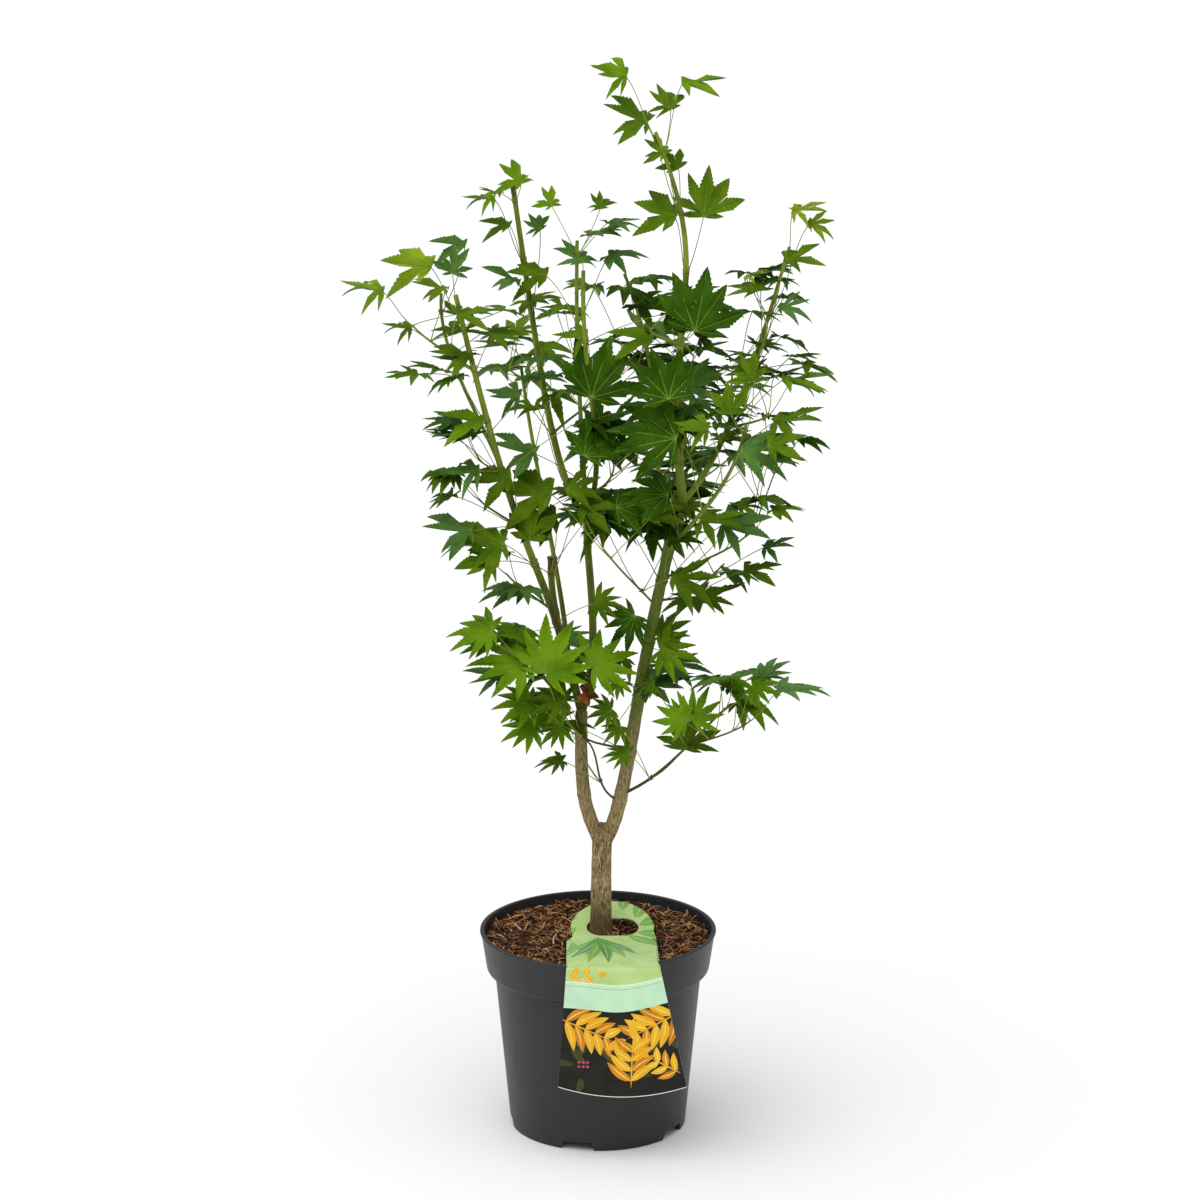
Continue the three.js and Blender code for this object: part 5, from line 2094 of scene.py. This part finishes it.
    def _nearest(self, joint: Vector, wish: Vector) -> StemNode | None:
        """The node from which a rising stalk reaches a leaf best.

        Args:
            joint: where the leaf's blade meets its stalk.
            wish: the leaf's heading.

        Returns:
            The node, or none if no stalk reaches.
        """
        best, best_cost = None, self.cost_limit
        for node in self.nodes:
            way = joint - node.place
            length = way.length
            if not self.shortest * 0.5 < length < self.longest:
                continue
            rise = way.z / length
            if rise < -0.05:
                continue
            cost = abs(length - self.best_stalk) * 0.5 + max(0.0, self.steepness - rise) * 60
            cost += 15 * node.leaves
            cost += 10 * max(0.0, -way.normalized().dot(wish))
            if cost < best_cost:
                best, best_cost = node, cost
        if best is not None:
            best.leaves += 1
        return best

    def _twig(self, joint: Vector, wish: Vector) -> StemNode:
        """Grows a twig with nodes of its own towards a leaf that no stalk reaches.

        Args:
            joint: where the leaf's blade meets its stalk.
            wish: the leaf's heading.

        Returns:
            The twig's last node, or the limb's own if that is near enough.
        """
        end = joint - wish * 22 - Vector((0, 0, 24))
        reach = dist(joint.xy, self.axis)

        def cost(node: StemNode) -> float:
            """How ill a twig from the node suits: far, crowded, too flat or turning back.

            Args:
                node: where the twig would start.

            Returns:
                The cost.
            """
            flat = 0.55 * dist(end.xy, node.place.xy) - end.z + node.place.z
            back = dist(node.place.xy, self.axis) - reach
            crowded = 8 * node.order + 4 * node.leaves
            return (node.place - end).length + crowded + 2.5 * max(0.0, flat) + 1.5 * max(0.0, back)

        parent = min((node for node in self.nodes if node.order < 3), key=cost)
        parent.leaves += 1
        length = (end - parent.place).length
        if length < 12:
            return parent
        side = (end - parent.place).xy.to_3d().normalized()
        straight = (end - parent.place).normalized()
        leave = parent.place + (parent.axis * 0.25 + side * 0.25 + straight * 0.6) * length * 0.33
        arrive = end - (Vector((0, 0, 0.35)) + wish * 0.15 + straight * 0.6) * length * 0.3
        count = max(4, round(length / self.twig_step))
        points = [bezier(parent.place, leave, arrive, end, k / count) for k in range(count + 1)]
        thick = min(1.15, parent.radius * 0.7)
        thin = max(0.6, thick * 0.66)
        radii = [thick + (thin - thick) * k / count for k in range(count + 1)]
        self.twigs.append(Stroke(points, radii))
        made = None
        steps = max(1, round(length / self.node_step))
        for step in range(1, steps + 1):
            index = round(step * count / steps)
            axis = (points[index] - points[index - 1]).normalized()
            made = StemNode(points[index], axis, radii[index], parent.order + 1)
            self.nodes.append(made)
        made.leaves += 1
        return made

    def _hang(self, node: StemNode, joint: Vector, ahead: Vector, normal: Vector, radius: float,
              tone: Tone, shape: int, droop: float) -> None:
        """Adds a leaf and the stalk that carries it.

        Args:
            node: the node that the stalk grows from.
            joint: where the blade meets the stalk.
            ahead: the blade's heading.
            normal: the way that its upper face looks.
            radius: from the joint to the longest tip.
            tone: its colour.
            shape: its blade's number.
            droop: how much of the shape's own droop it has.
        """
        across = normal.cross(ahead)
        facing = Matrix((ahead, across, normal)).transposed()
        self.leaves.append(Leaf(joint, facing, radius, shape, tone, droop))
        way = joint - node.place
        flat = way.xy.to_3d()
        side = flat.normalized() if flat.length > 1 else ahead
        start = node.place + side * node.radius * 0.6
        length = (joint - start).length
        straight = (joint - start).normalized()
        leave = start + (node.axis * 0.3 + side * 0.3 + straight * 0.6) * length * 0.33
        arrive = joint - (straight * 0.85 + ahead * 0.22) * length * 0.3
        radii = [0.62, 0.44, 0.38, 0.36, 0.35, 0.35, 0.38, 0.42]
        last = len(radii) - 1
        points = [bezier(start, leave, arrive, joint + ahead * 0.8, k / last) for k in range(last + 1)]
        self.stalks.append(Stroke(points, radii))

    # -- meshes --

    def build(self) -> None:
        """Builds every piece of the foliage."""
        uppers, unders, ribs = zip(*(shape.meshes() for shape in self.shapes))
        spray = SprayTool()
        upper_set = collection_of("blade_uppers", uppers)
        under_set = collection_of("blade_unders", unders)
        rib_set = collection_of("blade_ribs", ribs)
        for tone in Tone:
            leaves = [leaf for leaf in self.leaves if leaf.tone is tone]
            name = f"{tone.value.name}_sprays"
            piece = spray.run(name, self._cloud(name, leaves), tone.value, Shapes=upper_set)
            nodes = [mass for mass, owner in self.owner.items() if owner is tone]
            settle(piece, nodes)
        under = Blade("leaf_underside", "4b7030", "63894a", rough=(0.65, 0.15))
        rib = Blade("leaf_ribs", "5c7e24", "749636", rough=(0.6, 0.15))
        for name, shapes, finish in (("leaf_undersides", under_set, under), ("leaf_ribs", rib_set, rib)):
            settle(spray.run(name, self._cloud(name, self.leaves), finish, Shapes=shapes))
        lines = self.framework.lines
        lines("leaf_stalks", self.stalks, GreenStem("stalk_skin", "72802e", "949c44"), 5)
        extra = [limb for limb in self.framework.limbs.values() if limb.skin is Skin.TWIG]
        strokes = self.twigs + [limb.stroke(4) for limb in extra]
        nodes = [limb.name for limb in extra if limb.name in frame["nodes"]]
        finish = GreenStem("twig_skin", "5f6a26", "878f38", woody="564620")
        lines("twigs", strokes, finish, 7, nodes)
        self._dry_leaf()

    def _cloud(self, name: str, leaves: Sequence[Leaf]) -> Mesh:
        """A mesh of points for the spray tool.

        Args:
            name: the mesh's name.
            leaves: the leaves.

        Returns:
            The mesh, whose points carry the leaves' turns, spans and shapes.
        """
        mesh = mesh_of(name, [leaf.joint for leaf in leaves], [])
        turns = [angle for leaf in leaves for angle in leaf.facing.to_euler("XYZ")]
        spans = []
        for leaf in leaves:
            size = leaf.radius / self.shapes[leaf.shape].radius
            spans += [size, size, size * leaf.droop]
        for label, kind, slot, values in (
            ("turn", "FLOAT_VECTOR", "vector", turns),
            ("span", "FLOAT_VECTOR", "vector", spans),
            ("shape", "INT", "value", [leaf.shape for leaf in leaves]),
        ):
            mesh.attributes.new(label, kind, "POINT").data.foreach_set(slot, values)
        return mesh

    @staticmethod
    def _dry_leaf() -> None:
        """Builds the one dead, curled leaf that is caught at the fork of the left stem."""
        shape = BladeShape(SEED + 50, 5, 16, 105, 0.34, 0.72, 3, 0.7, 0.7, 1.1, skew=0.6, wild=1)
        points, rows = shape.corners()
        faces = shape.upper_faces(rows)
        turn = Matrix.Rotation(radians(62), 3, "X") @ Matrix.Rotation(radians(-12), 3, "Z")
        spot = Vector((-12, -34, 371))
        placed = [turn @ Vector(point) + spot for point in points]
        dead = Blade("dry_leaf", "6e3a1a", "a5642e", rough=(0.65, 0.15))
        piece = object_of(mesh_of("dry_leaf", placed, faces), dead.material())
        wall = piece.modifiers.new("wall", "SOLIDIFY")
        wall.thickness = 0.4 * MM
        settle(plain(piece))


# ---- studio ----


@dataclass
class Studio:
    """The pale floor, the soft light and the camera."""

    floor_size: float = 60.0
    eye: Point = (0.0016, -3.4, 1.351)
    pitch: float = 15.04
    lens: float = 133.8
    sun_power: float = 1.95
    sun_spread: float = 75.0
    sun_height: float = 72.0
    sun_side: float = 225.0
    sky: float = 0.56

    def build(self) -> None:
        """Sets up the whole studio."""
        half = self.floor_size / 2 / MM
        corners = [(-half, -half, 0), (half, -half, 0), (half, half, 0), (-half, half, 0)]
        floor = object_of(mesh_of("floor", corners, [(0, 1, 2, 3)], False), StudioFloor().material())
        self._world()
        self._sun()
        scene = bpy.context.scene
        scene.view_settings.view_transform = "Standard"
        data = bpy.data.cameras.new("camera")
        data.lens = self.lens
        data.sensor_width = 36
        camera = bpy.data.objects.new("camera", data)
        camera.location = self.eye
        camera.rotation_euler = (radians(90 - self.pitch), 0, 0)
        scene.collection.objects.link(camera)
        scene.camera = camera

    def _world(self) -> None:
        """Lights the scene evenly from a white sky."""
        world = bpy.data.worlds.new("white_sky")
        world.use_nodes = True
        sockets = world.node_tree.nodes["Background"].inputs
        sockets["Color"].default_value = (1, 1, 1, 1)
        sockets["Strength"].default_value = self.sky
        bpy.context.scene.world = world

    def _sun(self) -> None:
        """Adds one broad, soft light from above, a little to the left of the front."""
        data = bpy.data.lights.new("soft_key", "SUN")
        data.energy = self.sun_power
        data.angle = radians(self.sun_spread)
        light = bpy.data.objects.new("soft_key", data)
        side, height = radians(self.sun_side), radians(self.sun_height)
        level = cos(height)
        place = Vector((level * cos(side), level * sin(side), sin(height)))
        light.rotation_euler = (-place).to_track_quat("-Z", "Y").to_euler()
        bpy.context.scene.collection.objects.link(light)


def main() -> None:
    """Builds the pot, the compost, the tag, the limbs, the foliage and the studio, in that order."""
    logging.basicConfig(level=logging.INFO, format="%(name)s: %(message)s")
    pot = NurseryPot()
    pot.build()
    CompostFill(pot).build()
    PlantTag().build()
    framework = Framework()
    framework.build()
    foliage = Foliage(framework)
    foliage.grow()
    foliage.build()
    LOG.info("%d leaves, %d twigs", len(foliage.leaves), len(foliage.twigs))
    Studio().build()
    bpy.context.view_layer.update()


if __name__ == "__main__":
    main()
